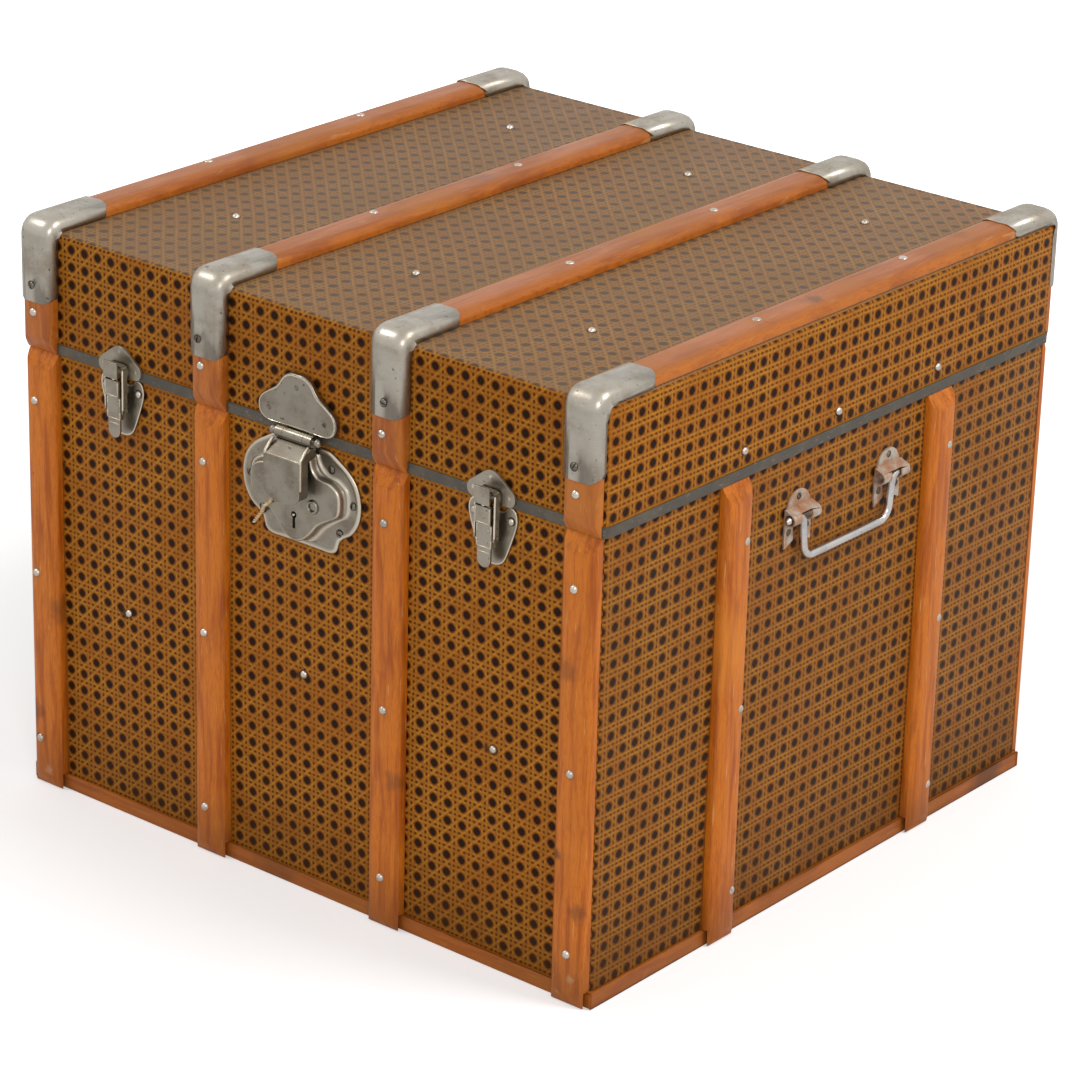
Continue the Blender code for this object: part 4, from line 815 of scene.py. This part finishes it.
def rolled_rim(
    name, finish, body, shares, width, height, low, across, stand, scale=1.0, heart=0.42
):
    """A rolled rim that stands proud round a plate."""
    bm = bmesh.new()
    worn = rubbed_and_highlit_layer(bm)
    middle_z = low + height * heart
    edge = reach_of(mirrored(shares, width, height, low), (0.0, middle_z), 120)
    rows = []
    for inward, rise, wear in PLATE_RIM:
        row = []
        for ux, uz, r in edge:
            r -= inward * scale
            vert = bm.verts.new(on_front(across + ux * r, stand + rise * scale, middle_z + uz * r))
            vert[worn] = wear
            row.append(vert)
        rows.append(row)
    bridge(bm, rows, looped=True)
    fitted(name, bm, finish, body)


def bead(bm, path, radius, wear=1.0):
    """A round bead along a path, tapered shut at both ends; its wear also paints it lighter, as a
    highlight.
    """
    worn = rubbed_and_highlit_layer(bm)
    first, *between, last = [Vector(p) for p in path]
    along = [first, *between, last]
    start = first + (along[1] - first).normalized() * radius
    stop = last - (last - along[-2]).normalized() * radius
    full = [first, start, *between, stop, last]
    rows = []
    for n, point in enumerate(full):
        ahead = (full[min(n + 1, len(full) - 1)] - full[max(n - 1, 0)]).normalized()
        side = rows[-1][0].co - full[n - 1] if rows else ahead.orthogonal()
        side = (side - ahead * side.dot(ahead)).normalized()
        other = ahead.cross(side)
        reach = radius * (0.35 if n in (0, len(full) - 1) else 1.0)
        row = [bm.verts.new(point + (side * c + other * s) * reach) for c, s in turns(10)]
        for vert in row:
            vert[worn] = wear
        rows.append(row)
    tube(bm, rows)


# --------------------------------------------------------------- the twine

TWINE = 0.0022
TWINE_LAY, STRANDS = 0.0062, 2
TWINE_ROUTE = [
    (0.0009, 0.0012, 0.0108), (0.0002, -0.0014, 0.0117), (-0.0012, -0.0039, 0.0127),
    (-0.0032, -0.0062, 0.0123), (-0.0058, -0.0081, 0.0112), (-0.0086, -0.0102, 0.0108),
    (-0.0113, -0.0129, 0.0098), (-0.0140, -0.0157, 0.0073), (-0.0165, -0.0185, 0.0049),
    (-0.0195, -0.0217, 0.0037), (-0.0225, -0.0252, 0.0034), (-0.0253, -0.0284, 0.0025),
    (-0.0279, -0.0312, 0.0018),
]


def twisted(name, path, width, finish):
    """Two yarns twisted round one another along a path."""
    bm = bmesh.new()
    reach, gone, side = width / 2, 0.0, Vector((0, -1, 0))
    yarn = reach * 0.60
    frames = []
    for n, point in enumerate(path):
        ahead = (path[min(n + 1, len(path) - 1)] - path[max(n - 1, 0)]).normalized()
        side = (side - ahead * side.dot(ahead)).normalized()
        if n:
            gone += (point - path[n - 1]).length
        frames.append((point, side, ahead.cross(side), 2 * math.pi * gone / TWINE_LAY))
    for k in range(STRANDS):
        rows = []
        for point, one, two, turn in frames:
            a = turn + 2 * math.pi * k / STRANDS
            heart = point + (one * math.cos(a) + two * math.sin(a)) * (reach - yarn)
            rows.append([bm.verts.new(heart + (one * c + two * s) * yarn) for c, s in turns(9, a)])
        tube(bm, rows)
    return shaded(name, bm, finish)


# ------------------------------------------------------------- covered box


class TRUNK_OT_boards(bpy.types.Operator):
    """Give the boards of the box and lid their bare timber"""

    bl_idname = "trunk.boards"
    bl_label = "Boards"

    def execute(self, context):
        across, along = board_timber("board_timber_ends", 1), board_timber("board_timber", 0)
        for node, obj in frame["nodes"].items():
            if node.endswith("_board"):
                on_end = "left" in node or "right" in node
                obj.material_slots[0].material = across if on_end else along
        return {"FINISHED"}


# Where the middle of one printed hole lies on the front, the sides and the top
PRINTS = {
    "body": ((0.0052, 0.0063), (0.0062 + SHIFT, 0.0022), (0.0080, 0.0050)),
    "lid": ((0.0013, 0.0067), (0.0119 + SHIFT, 0.0038), (0.0080, 0.0045 + SHIFT)),
}


class TRUNK_OT_canvas(bpy.types.Operator):
    """Cover the box and the lid with printed canvas"""

    bl_idname = "trunk.canvas"
    bl_label = "Canvas"

    def execute(self, context):
        for part, starts in PRINTS.items():
            finish = cane_print(f"cane_print_{part}", *starts)
            refined(f"{part}_canvas", finish, edge=0.0, smooth=50)
        return {"FINISHED"}


# Old marks on the slats and the rail: where, how wide and how strong; the mark on the rail's front
# is painted shade
FRONT_STAINS = {
    1: (((-0.244, FRONT, 0.150), 0.020, 0.45), ((-0.272, SLAT_FRONT, 0.060), 0.016, 0.50)),
    3: (((0.098, SLAT_FRONT, 0.120), 0.012, 0.40),),
    4: (((0.248, SLAT_FRONT, 0.115), 0.007, 0.75), ((0.252, SLAT_FRONT, 0.255), 0.013, 0.35),
        ((0.268, SLAT_FRONT, 0.075), 0.010, 0.45)),
}
FRONT_CHIPS = {
    1: (((-0.256, SLAT_FRONT, 0.014), 0.006, 0.40),),
    4: (((0.264, SLAT_FRONT, 0.022), 0.005, 0.45), ((0.252, SLAT_FRONT, 0.008), 0.004, 0.40)),
}
TOP_STAINS = {
    4: (((0.262, -0.020 + SHIFT, LID_SLAT_TOP), 0.010, 0.80),
        ((0.255, 0.170 + SHIFT, LID_SLAT_TOP), 0.014, 0.35)),
    2: (((-0.088, 0.030 + SHIFT, LID_SLAT_TOP), 0.016, 0.40),),
}
# The second rail mark, on the front, is painted shade
RAIL_STAINS_AND_SHADE = [((0.280, 0.225 + SHIFT, 0.006), 0.034, 0.85), ((-0.020, FRONT, 0.005), 0.030, 0.45)]
RAIL_CHIPS = [
    ((0.281, -0.205 + SHIFT, 0.003), 0.006, 0.45), ((0.281, -0.130 + SHIFT, 0.002), 0.006, 0.35),
]
# The eased edge, and how the grain is stretched along x, y and z
SLAT_EDGE = 0.0007
UPRIGHT_GRAIN, LID_GRAIN, RAIL_GRAIN = (7.0, 7.0, 0.55), (7.0, 0.55, 0.9), (0.6, 0.6, 8.0)
# How much darker the lid slats are on faces that look up
LID_TOP_DARKENING = 0.62


class TRUNK_OT_slats(bpy.types.Operator):
    """Fit the varnished slats of the box and the lid"""

    bl_idname = "trunk.slats"
    bl_label = "Slats"

    def execute(self, context):
        rows = []
        for n in range(1, 5):
            marks = FRONT_STAINS.get(n, ()), FRONT_CHIPS.get(n, ())
            shift = (n, 2 * n, 0.3 * n)
            rows += [("front", n, UPRIGHT_GRAIN, shift, *marks), ("back", n, UPRIGHT_GRAIN, shift)]
            top = TOP_STAINS.get(n, ()), (), LID_TOP_DARKENING
            rows.append(("lid", n, LID_GRAIN, (5 * n, 0.4 * n, n), *top))
            if n <= 2:
                ends = (n, UPRIGHT_GRAIN, (3 * n, n, 0.7 * n))
                rows += [("left", *ends), ("right", *ends)]
        for face, n, *look in rows:
            finish = slat_varnish(f"varnish_{face}_{n}", *look)
            refined(f"{face}_slat_{n}", finish, edge=SLAT_EDGE)
        return {"FINISHED"}


# The worn rail lies a little closer to the box than the square one does
RAIL_SKIN, RAIL_EASE = 0.0012, 0.0030


class TRUNK_OT_edges(bpy.types.Operator):
    """Fit the base rail and the lid's dark band"""

    bl_idname = "trunk.edges"
    bl_label = "Base rail and band"

    def execute(self, context):
        finish = slat_varnish("varnish_rail", RAIL_GRAIN, (1, 4, 2), RAIL_STAINS_AND_SHADE, RAIL_CHIPS)
        rail = refined("base_rail", finish, edge=0.0008)
        low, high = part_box("base_rail")
        for vert in rail.data.vertices:
            if abs(vert.co.x) > high[0] - RAIL_SKIN:
                vert.co.x -= math.copysign(RAIL_EASE, vert.co.x)
            if vert.co.y < low[1] + RAIL_SKIN or vert.co.y > high[1] - RAIL_SKIN:
                vert.co.y += math.copysign(RAIL_EASE, -vert.co.y)
        refined("lid_band", shared("band_paint", band_paint), edge=0.0002, segments=1)
        return {"FINISHED"}


class TRUNK_OT_caps(bpy.types.Operator):
    """Fit the plated caps over the ends of the lid slats"""

    bl_idname = "trunk.caps"
    bl_label = "Caps"

    def execute(self, context):
        for face in ("front", "back"):
            for n in range(1, 5):
                finish = metal("cap_plating")
                refined(f"{face}_cap_{n}", finish, edge=0.0, smooth=64, even=False)
        return {"FINISHED"}


# --------------------------------------------------------------- metalwork

FORWARD, UP, REARWARD = (0, -1, 0), (0, 0, 1), (0, 1, 0)
PLATE_LOW, PLATE_HEIGHT, PLATE_WIDTH = PARTING + 0.0065, 0.041, 0.075
PLATE_SHARES = [
    (0.0, 0.0), (0.40, 0.0), (0.74, 0.0), (0.93, 0.08), (1.0, 0.26),
    (0.93, 0.43), (0.75, 0.555), (0.56, 0.67), (0.45, 0.79), (0.34, 0.92),
    (0.16, 1.0), (0.0, 1.0),
]
HASP_EDGE = [(0.0122, 0.3562), (0.0208, 0.3478), (0.0211, 0.3462), (0.0211, 0.3240)]
KEEPER_SHARES = [
    (0.0, 0.0), (0.40, 0.0), (0.76, 0.0), (0.95, 0.10), (1.0, 0.30),
    (0.92, 0.48), (0.66, 0.66), (0.38, 0.86), (0.15, 0.99), (0.0, 1.0),
]
LATCH_SHARES = [
    (0.0, 0.0), (0.22, 0.01), (0.44, 0.07), (0.60, 0.20), (0.76, 0.40),
    (0.92, 0.62), (1.0, 0.80), (0.93, 0.94), (0.74, 1.0), (0.56, 0.96),
    (0.46, 0.90), (0.0, 0.90),
]
# How far out to each side the beads of the hasp run
HASP_HALF = 0.0168
# How far the plate, the keepers and the flat sheets on the box lie from the canvas
PLATE_OUT, KEEPER_OUT, SHEET_OUT = 0.0065, 0.0036, 0.0019
# Steps across a rolled rim: how far in, its height and its wear, which also paints a highlight on
# the rim
PLATE_RIM = [
    (0.0002, 0.0004, 0.2), (0.0004, 0.0014, 0.6), (0.0010, 0.0021, 1.0), (0.0018, 0.0023, 1.0),
    (0.0026, 0.0018, 0.7), (0.0036, 0.0008, 0.1), (0.0044, 0.0001, 0.0),
]
PLATE_SCREWS = [(0, 0.3950), (-0.0265, 0.3740), (0.0265, 0.3740)]
CASE_SCREWS = [(0.0290, 0.3395), (0.0495, 0.3170), (0.0370, 0.2925)]
HASP_RIVETS, BOSS_Z = (0.3365, 0.3250), 0.3800


def make_case():
    """The pressed case with its two wire eyes and the key pin."""
    finish = metal("lock_plating")
    case = shaded("lock_case_pressed", pressed_case(), finish, 52)
    case.data.materials.append(shared("shadow_and_grime_metal", shadow_and_grime_metal))
    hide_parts("lock_case")
    settle(case, "body")
    bm = bmesh.new()
    for side in (-1, 1):
        torus(bm, on_front(side * EYE_X, CASE_FACE + 0.0005, EYE_Z), FORWARD, EYE_RADIUS, EYE_WIRE)
    fitted("lock_eyes", bm, finish, "body")
    bm = bmesh.new()
    dome(bm, on_front(0, CASE_FACE - 0.0008, KEY_Z), FORWARD, 0.0014, 0.0021, sides=16)
    fitted("key_pin_head", bm, metal("nail_steel"), "body")


class TRUNK_OT_lock(bpy.types.Operator):
    """Fit the lock: pressed case, lid plate and hasp"""

    bl_idname = "trunk.lock"
    bl_label = "Lock"

    def execute(self, context):
        finish, size = metal("lock_plating"), context.scene.trunk_hardware
        make_case()
        refined("lock_plate", finish, edge=0.0003, smooth=45)
        refined("hasp", finish, edge=0.0010, segments=3, smooth=35)
        rim = PLATE_SHARES, PLATE_WIDTH, PLATE_HEIGHT, PLATE_LOW, 0.0, PLATE_OUT - 0.0018
        rolled_rim("lock_plate_rim", finish, "lid", *rim)
        # The hasp's edge beads are lighter: wear with a painted highlight
        bm = bmesh.new()
        for side in (-1, 1):
            bead(bm, [on_front(side * HASP_HALF, out, z) for out, z in HASP_EDGE], 0.0013)
        fitted("hasp_edges", bm, finish, "hasp")
        spots = [on_front(x, PLATE_OUT - 0.0002, z) for x, z in PLATE_SCREWS]
        studs("lock_plate_screws", spots, FORWARD, size.screw, "lid")
        bm = bmesh.new()
        torus(bm, on_front(0, PLATE_OUT - 0.0003, BOSS_Z), FORWARD, 0.0040, 0.0007)
        dome(bm, on_front(0, PLATE_OUT - 0.0005, BOSS_Z), FORWARD, 0.0024, 0.0009)
        fitted("lock_plate_boss", bm, finish, "lid")
        spots = [(0, HASP_FRONT + 0.0006, z) for z in HASP_RIVETS]
        studs("hasp_rivets", spots, FORWARD, size.rivet * 0.72, "hasp", rise=0.12, finish=finish)
        spots = [on_front(side * x, SHEET_OUT, z) for side in (-1, 1) for x, z in CASE_SCREWS]
        studs("lock_case_screws", spots, FORWARD, size.rivet, "body")
        return {"FINISHED"}


LATCH_X, LEVER_HALF, LINK_HALF = 0.178, 0.0063, 0.0088
# The outline, width, height and foot of each rolled rim
KEEPER_RIM = KEEPER_SHARES, 0.043, 0.0232, 0.3572
LATCH_RIM = LATCH_SHARES, 0.044, 0.0460, 0.3107
# How far out each bead stands, and from where to where it runs
LEVER_EDGES = [(0.0130, 0.3448, 0.3558), (0.0109, 0.3362, 0.3428), (0.0109, 0.3262, 0.3318)]
LEVER_SEAMS = [(0.0130, 0.3446, 0.0062), (0.0110, 0.3262, 0.0062), (0.0105, 0.3222, 0.0050)]
LINK_OUT, LINK_EDGE = 0.0104, (0.3335, 0.3655)
KEEPER_RIVETS = [(0, 0.3760), (-0.0160, 0.3645), (0.0160, 0.3645)]
LATCH_RIVETS = [(-0.0165, 0.3465), (0.0165, 0.3465)]


def latch_beads(side, x, finish):
    """Folded edges, seams and the small rivet of one latch; the beads are lighter, as wear with a
    painted highlight.
    """
    bm = bmesh.new()
    for across in (x - LEVER_HALF, x + LEVER_HALF):
        for out, low, high in LEVER_EDGES:
            bead(bm, [on_front(across, out, low), on_front(across, out, high)], 0.0007, wear=0.4)
    for out, z, half in LEVER_SEAMS:
        bead(bm, [on_front(x - half, out, z), on_front(x + half, out, z)], 0.0006, wear=0.35)
    dome(bm, on_front(x + 0.0040, 0.0111, 0.3385), FORWARD, 0.0015, 0.0009, sides=12)
    fitted(f"{side}_lever_edges", bm, finish, f"{side}_lever")
    bm = bmesh.new()
    for across in (x - LINK_HALF, x + LINK_HALF):
        bead(bm, [on_front(across, LINK_OUT, z) for z in LINK_EDGE], 0.0008)
    fitted(f"{side}_link_edges", bm, finish, f"{side}_link")


class TRUNK_OT_latches(bpy.types.Operator):
    """Fit the two draw latches"""

    bl_idname = "trunk.latches"
    bl_label = "Draw latches"

    def execute(self, context):
        finish, width = metal("latch_plating"), context.scene.trunk_hardware.rivet
        for side, x in (("left", -LATCH_X), ("right", LATCH_X)):
            for part in ("keeper", "base", "lever", "link"):
                refined(f"{side}_latch_{part}", finish, edge=0.00035, smooth=40)
            rolled_rim(f"{side}_keeper_rim", finish, "lid", *KEEPER_RIM, x, 0.0026, 0.5)
            rolled_rim(f"{side}_latch_base_rim", finish, "body", *LATCH_RIM, x, 0.0009, 0.5, 0.5)
            latch_beads(side, x, finish)
            spots = [on_front(x + u, KEEPER_OUT, z) for u, z in KEEPER_RIVETS]
            studs(f"{side}_keeper_rivets", spots, FORWARD, width, "lid", rise=0.20)
            spots = [on_front(x + u, SHEET_OUT, z) for u, z in LATCH_RIVETS]
            studs(f"{side}_latch_rivets", spots, FORWARD, width, "body", rise=0.36)
        return {"FINISHED"}


# How far out a leaf or a bracket's plate lies: the gap to the canvas and its sheet
LEAF_STAND, BRACKET_STAND = 0.0003 + 0.0012, 0.0003 + 0.0015
HINGE_X = 0.1727
# Each leaf: its body, the canvas it lies on and the height of its screws
LEAVES = {"lower": ("body", BACK, 0.3330), "upper": ("lid", LID_BACK, 0.3810)}


class TRUNK_OT_hinges(bpy.types.Operator):
    """Fit the two back hinges"""

    bl_idname = "trunk.hinges"
    bl_label = "Hinges"

    def execute(self, context):
        finish, width = metal("lock_plating"), context.scene.trunk_hardware.screw
        for side, x in (("left", -HINGE_X), ("right", HINGE_X)):
            for leaf, (body, canvas, z) in LEAVES.items():
                refined(f"{side}_hinge_{leaf}_leaf", finish, edge=0.0002, smooth=40)
                spots = [(x + u, canvas + LEAF_STAND, z) for u in (-0.021, 0.0, 0.021)]
                name = f"{side}_{leaf}_leaf_screws"
                studs(name, spots, REARWARD, width, body, finish=finish)
        return {"FINISHED"}


# A bracket's screws: how far across from its middle, and their height
BRACKET_SCREWS = [(0, 0.3235), (-0.0108, 0.2985), (0.0108, 0.2985)]


class TRUNK_OT_handles(bpy.types.Operator):
    """Fit the drop handles and their brackets"""

    bl_idname = "trunk.handles"
    bl_label = "Drop handles"

    def execute(self, context):
        width = context.scene.trunk_hardware.screw * 0.9
        for side, sign in (("left", -1), ("right", 1)):
            refined(f"{side}_handle", metal("rod_steel"), edge=0.0, smooth=75, rounds=2, flat=0.05)
            spots = []
            for end in ("front", "rear"):
                node = f"{side}_{end}_bracket"
                refined(node, metal("bracket_rust"), edge=0.00025, smooth=42)
                low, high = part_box(node)
                heart = (low[1] + high[1]) / 2
                spots += [(sign * (SIDE + BRACKET_STAND), heart + u, z) for u, z in BRACKET_SCREWS]
            name = f"{side}_bracket_screws"
            studs(name, spots, (sign, 0, 0), width, "body")
        return {"FINISHED"}


# ------------------------------------------------------------------- nails

BODY_NAILS = [
    (-0.2622, 0.3177), (-0.2643, 0.1776), (-0.2641, 0.0392),
    (-0.0888, 0.3160), (-0.0888, 0.1809), (-0.0889, 0.0386),
    (0.0861, 0.3171), (0.0872, 0.1736), (0.0862, 0.0402),
    (0.2573, 0.3175), (0.2588, 0.1796), (0.2602, 0.0405),
]
LID_NAILS = [(-0.2600, 0.3885), (-0.0890, 0.3900), (0.0845, 0.3840), (0.2575, 0.3870)]
CAP_SCREWS = [(-0.2605, 0.4095), (-0.0905, 0.4100), (0.0865, 0.4080), (0.2565, 0.4070)]
PANEL_RIVETS = [(-0.1758, 0.1670), (0.0023, 0.1721), (0.1818, 0.1703)]
TOP_NAILS = [(-0.2645, -0.0857), (-0.2620, 0.0852), (-0.0910, -0.0904), (-0.0880, 0.0727),
             (0.0877, -0.0789), (0.0881, 0.0902), (0.2580, -0.0824), (0.2551, 0.0977)]
TOP_RIVETS = [(-0.1760, -0.1485), (-0.1748, 0.1662), (0.0059, -0.1530), (0.0031, 0.1684),
              (0.1735, -0.1592), (0.1713, 0.1680)]
END_NAILS = [(-0.1169, 0.3120), (-0.1156, 0.1824), (-0.1160, 0.0383),
             (0.1305, 0.3142), (0.1315, 0.1738), (0.1315, 0.0348)]
END_LID_RIVETS = [(-0.1149, 0.3771), (-0.0040, 0.3759), (0.1194, 0.3762)]
# How deep the heads sit in the slats and caps, and where the top screws lie
SUNK, END_SUNK, CAP_SUNK, CAP_ROW = 0.0003, 0.0011, 0.0013, 0.2235
# The heights of the flatter heads, as shares of their width
FLAT, LESS_FLAT = 0.20, 0.28


class TRUNK_OT_nails(bpy.types.Operator):
    """Drive the domed nails and rivets through slats and canvas"""

    bl_idname = "trunk.nails"
    bl_label = "Nails and rivets"

    def execute(self, context):
        size, bright = context.scene.trunk_hardware, "handle_metal"
        wide, small = size.nail, size.nail * 0.9
        for name, way, slat, lid_slat, cap, canvas, rise in (
            ("front", -1, SLAT_FRONT + SUNK, LID_SLAT_FRONT + SUNK, CAP_FRONT, FRONT, 0.42),
            ("back", 1, SLAT_BACK - SUNK, LID_SLAT_BACK - SUNK, CAP_BACK - CAP_SUNK, BACK, FLAT),
        ):
            out, row = (0, way, 0), SHIFT + way * CAP_ROW
            spots = [(x, slat, z) for x, z in BODY_NAILS]
            studs(f"{name}_slat_nails", spots, out, wide, "body")
            spots = [(x, lid_slat, z) for x, z in LID_NAILS]
            studs(f"{name}_lid_nails", spots, out, wide, "lid", rise)
            spots = [(x, cap, z) for x, z in CAP_SCREWS]
            studs(f"{name}_cap_screws", spots, out, size.rivet, "lid")
            spots = [(x, row, CAP_TOP - CAP_SUNK) for x, _ in CAP_SCREWS]
            studs(f"{name}_cap_top_screws", spots, UP, size.rivet, "lid")
            spots = [(x, canvas, z) for x, z in PANEL_RIVETS]
            studs(f"{name}_panel_rivets", spots, out, small, "body")
        spots = [(x, y + SHIFT, LID_SLAT_TOP - SUNK) for x, y in TOP_NAILS]
        studs("lid_slat_nails", spots, UP, wide, "lid", FLAT)
        spots = [(x, y + SHIFT, LID_TOP) for x, y in TOP_RIVETS]
        studs("lid_panel_rivets", spots, UP, small, "lid")
        for name, way in (("left", -1), ("right", 1)):
            spots = [(way * (SLAT_SIDE - END_SUNK), y + SHIFT, z) for y, z in END_NAILS]
            studs(f"{name}_end_nails", spots, (way, 0, 0), wide, "body", LESS_FLAT)
            spots = [(way * LID_SIDE, y + SHIFT, z) for y, z in END_LID_RIVETS]
            studs(f"{name}_lid_rivets", spots, (way, 0, 0), small, "lid")
        return {"FINISHED"}


class TRUNK_OT_twine(bpy.types.Operator):
    """Tie the hemp twine to the left eye of the lock"""

    bl_idname = "trunk.twine"
    bl_label = "Twine"

    def execute(self, context):
        route = [on_front(u - EYE_X, h, w + EYE_Z) for u, w, h in TWINE_ROUTE]
        path = curve_through(route, 6)
        twine = twisted("twine_tail", path, TWINE * 1.25, shared("twine_fibre", twine_fibre))
        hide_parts("key_twine")
        settle(twine, "body")
        return {"FINISHED"}


# ------------------------------------------------------------------ studio

CAMERA_AXES = (
    (0.76893162, 0.6388384, 0.02509289),
    (0.26400916, -0.2815366, -0.92251629),
    (-0.58227427, 0.7159767, -0.38514158),
)
CAMERA_SPOT = (1.8739672, -2.3009294, 1.4343875)
LENS, SENSOR = 139.65, 36.0
# Where each lamp hangs, the height it aims at, its size and share of the power
LAMPS = {
    "key_lamp": ((1.9, 0.5, 2.9), 0.25, 1.0, 1.0),
    "fill_lamp": ((2.3, -2.5, 2.3), 0.2, 0.9, 1.0),
    "left_lamp": ((-1.7, -1.2, 2.4), 0.4, 0.35, 0.55),
}


class TRUNK_OT_camera(bpy.types.Operator):
    """Stand the camera high in front of the right corner"""

    bl_idname = "trunk.camera"
    bl_label = "Camera"

    def execute(self, context):
        data = bpy.data.cameras.new("camera")
        data.lens, data.sensor_width = LENS, SENSOR
        data.clip_start, data.clip_end = 0.1, 60.0
        camera = bpy.data.objects.new("camera", data)
        context.scene.collection.objects.link(camera)
        right, down, ahead = (Vector(axis) for axis in CAMERA_AXES)
        turn = Matrix((right, -down, -ahead)).transposed().to_4x4()
        spot = Vector(CAMERA_SPOT) + Vector((0, SHIFT, 0))
        camera.matrix_world = Matrix.Translation(spot) @ turn
        context.scene.camera = camera
        return {"FINISHED"}


def hang_lamp(name, power):
    spot, aim, size, share = LAMPS[name]
    data = bpy.data.lights.new(name, "AREA")
    data.energy, data.shape, data.size = power * share, "SQUARE", size
    lamp = bpy.data.objects.new(name, data)
    lamp.location = spot
    lamp.rotation_euler = (Vector((0, 0, aim)) - Vector(spot)).to_track_quat("-Z", "Y").to_euler()
    bpy.context.scene.collection.objects.link(lamp)


def seen_white(made):
    """One for rays from the camera and for mirrored or see-through rays."""
    rays = made.add("LightPath").outputs
    seen = made.most(rays["Is Camera Ray"], rays["Is Glossy Ray"])
    return made.most(seen, rays["Is Transmission Ray"])


def floor_paper(lightness):
    """White paper that keeps the soft shadow, and is pure white farther off."""
    made = material("floor_paper")
    away = made.build("VectorMath", (made.place["Object"],), out="Value", operation="LENGTH")
    direct = made.add("LightPath").outputs["Is Camera Ray"]
    lift = made.times(direct, made.step(away, 0.42, 2.0, 0.30, 1.0))
    glow = made.reckon("MULTIPLY_ADD", seen_white(made), 0.06, lift)
    made.feed(made.shader.inputs["Emission Color"], (1, 1, 1))
    made.feed(made.shader.inputs["Emission Strength"], glow)
    return made.done((lightness, lightness, lightness), 0.9, specular=0.1)


class TRUNK_OT_studio(bpy.types.Operator):
    """Lay the pale floor and hang the soft lights"""

    bl_idname = "trunk.studio"
    bl_label = "Studio"

    def execute(self, context):
        look = context.scene.trunk_studio
        bm = bmesh.new()
        bmesh.ops.create_grid(bm, x_segments=2, y_segments=2, size=9.0)
        floor = shaded("floor", bm, floor_paper(look.floor))
        floor.location.z = -0.0004
        world = bpy.data.worlds.new("studio")
        context.scene.world = world
        made = Recipe(world, "Background")
        made.feed(made.shader.inputs["Color"], (1, 1, 1))
        made.feed(made.shader.inputs["Strength"], made.blend(seen_white(made), look.sky, 1.0))
        for name in LAMPS:
            hang_lamp(name, look.key if name == "key_lamp" else look.fill)
        context.scene.view_settings.view_transform = "Standard"
        return {"FINISHED"}


# ----------------------------------------------------------------- sidebar

STEPS = [
    TRUNK_OT_camera, TRUNK_OT_twine, TRUNK_OT_boards, TRUNK_OT_canvas, TRUNK_OT_slats,
    TRUNK_OT_edges, TRUNK_OT_caps, TRUNK_OT_lock, TRUNK_OT_latches, TRUNK_OT_hinges,
    TRUNK_OT_handles, TRUNK_OT_nails, TRUNK_OT_studio,
]
GROUPS = [
    ("trunk_canvas", TrunkCanvasSettings), ("trunk_wood", TrunkWoodSettings),
    ("trunk_metal", TrunkMetalSettings), ("trunk_hardware", TrunkHardwareSettings),
    ("trunk_studio", TrunkStudioSettings),
]


class TRUNK_PT_sidebar(bpy.types.Panel):
    """Sizes, colours and steps of the trunk"""

    bl_idname = "TRUNK_PT_sidebar"
    bl_label = "Trunk"
    bl_space_type = "VIEW_3D"
    bl_region_type = "UI"
    bl_category = "Trunk"

    def draw(self, context):
        for name, group in GROUPS:
            box = self.layout.box()
            box.label(text=group.__doc__)
            for key in group.__annotations__:
                box.prop(getattr(context.scene, name), key)
        for step in STEPS:
            self.layout.operator(step.bl_idname)


def register():
    for name, group in GROUPS:
        bpy.utils.register_class(group)
        setattr(bpy.types.Scene, name, PointerProperty(type=group))
    for step in STEPS:
        bpy.utils.register_class(step)
    bpy.utils.register_class(TRUNK_PT_sidebar)


def unregister():
    bpy.utils.unregister_class(TRUNK_PT_sidebar)
    for step in reversed(STEPS):
        bpy.utils.unregister_class(step)
    for name, group in reversed(GROUPS):
        delattr(bpy.types.Scene, name)
        bpy.utils.unregister_class(group)


def main():
    register()
    for name in [o.name for o in bpy.data.objects if o.type in {"CAMERA", "LIGHT"}]:
        bpy.data.objects.remove(bpy.data.objects[name])
    for step in STEPS:
        group, action = step.bl_idname.split(".")
        if getattr(getattr(bpy.ops, group), action)() != {"FINISHED"}:
            raise RuntimeError(f"{step.bl_label} was not finished")


if __name__ == "__main__":
    main()
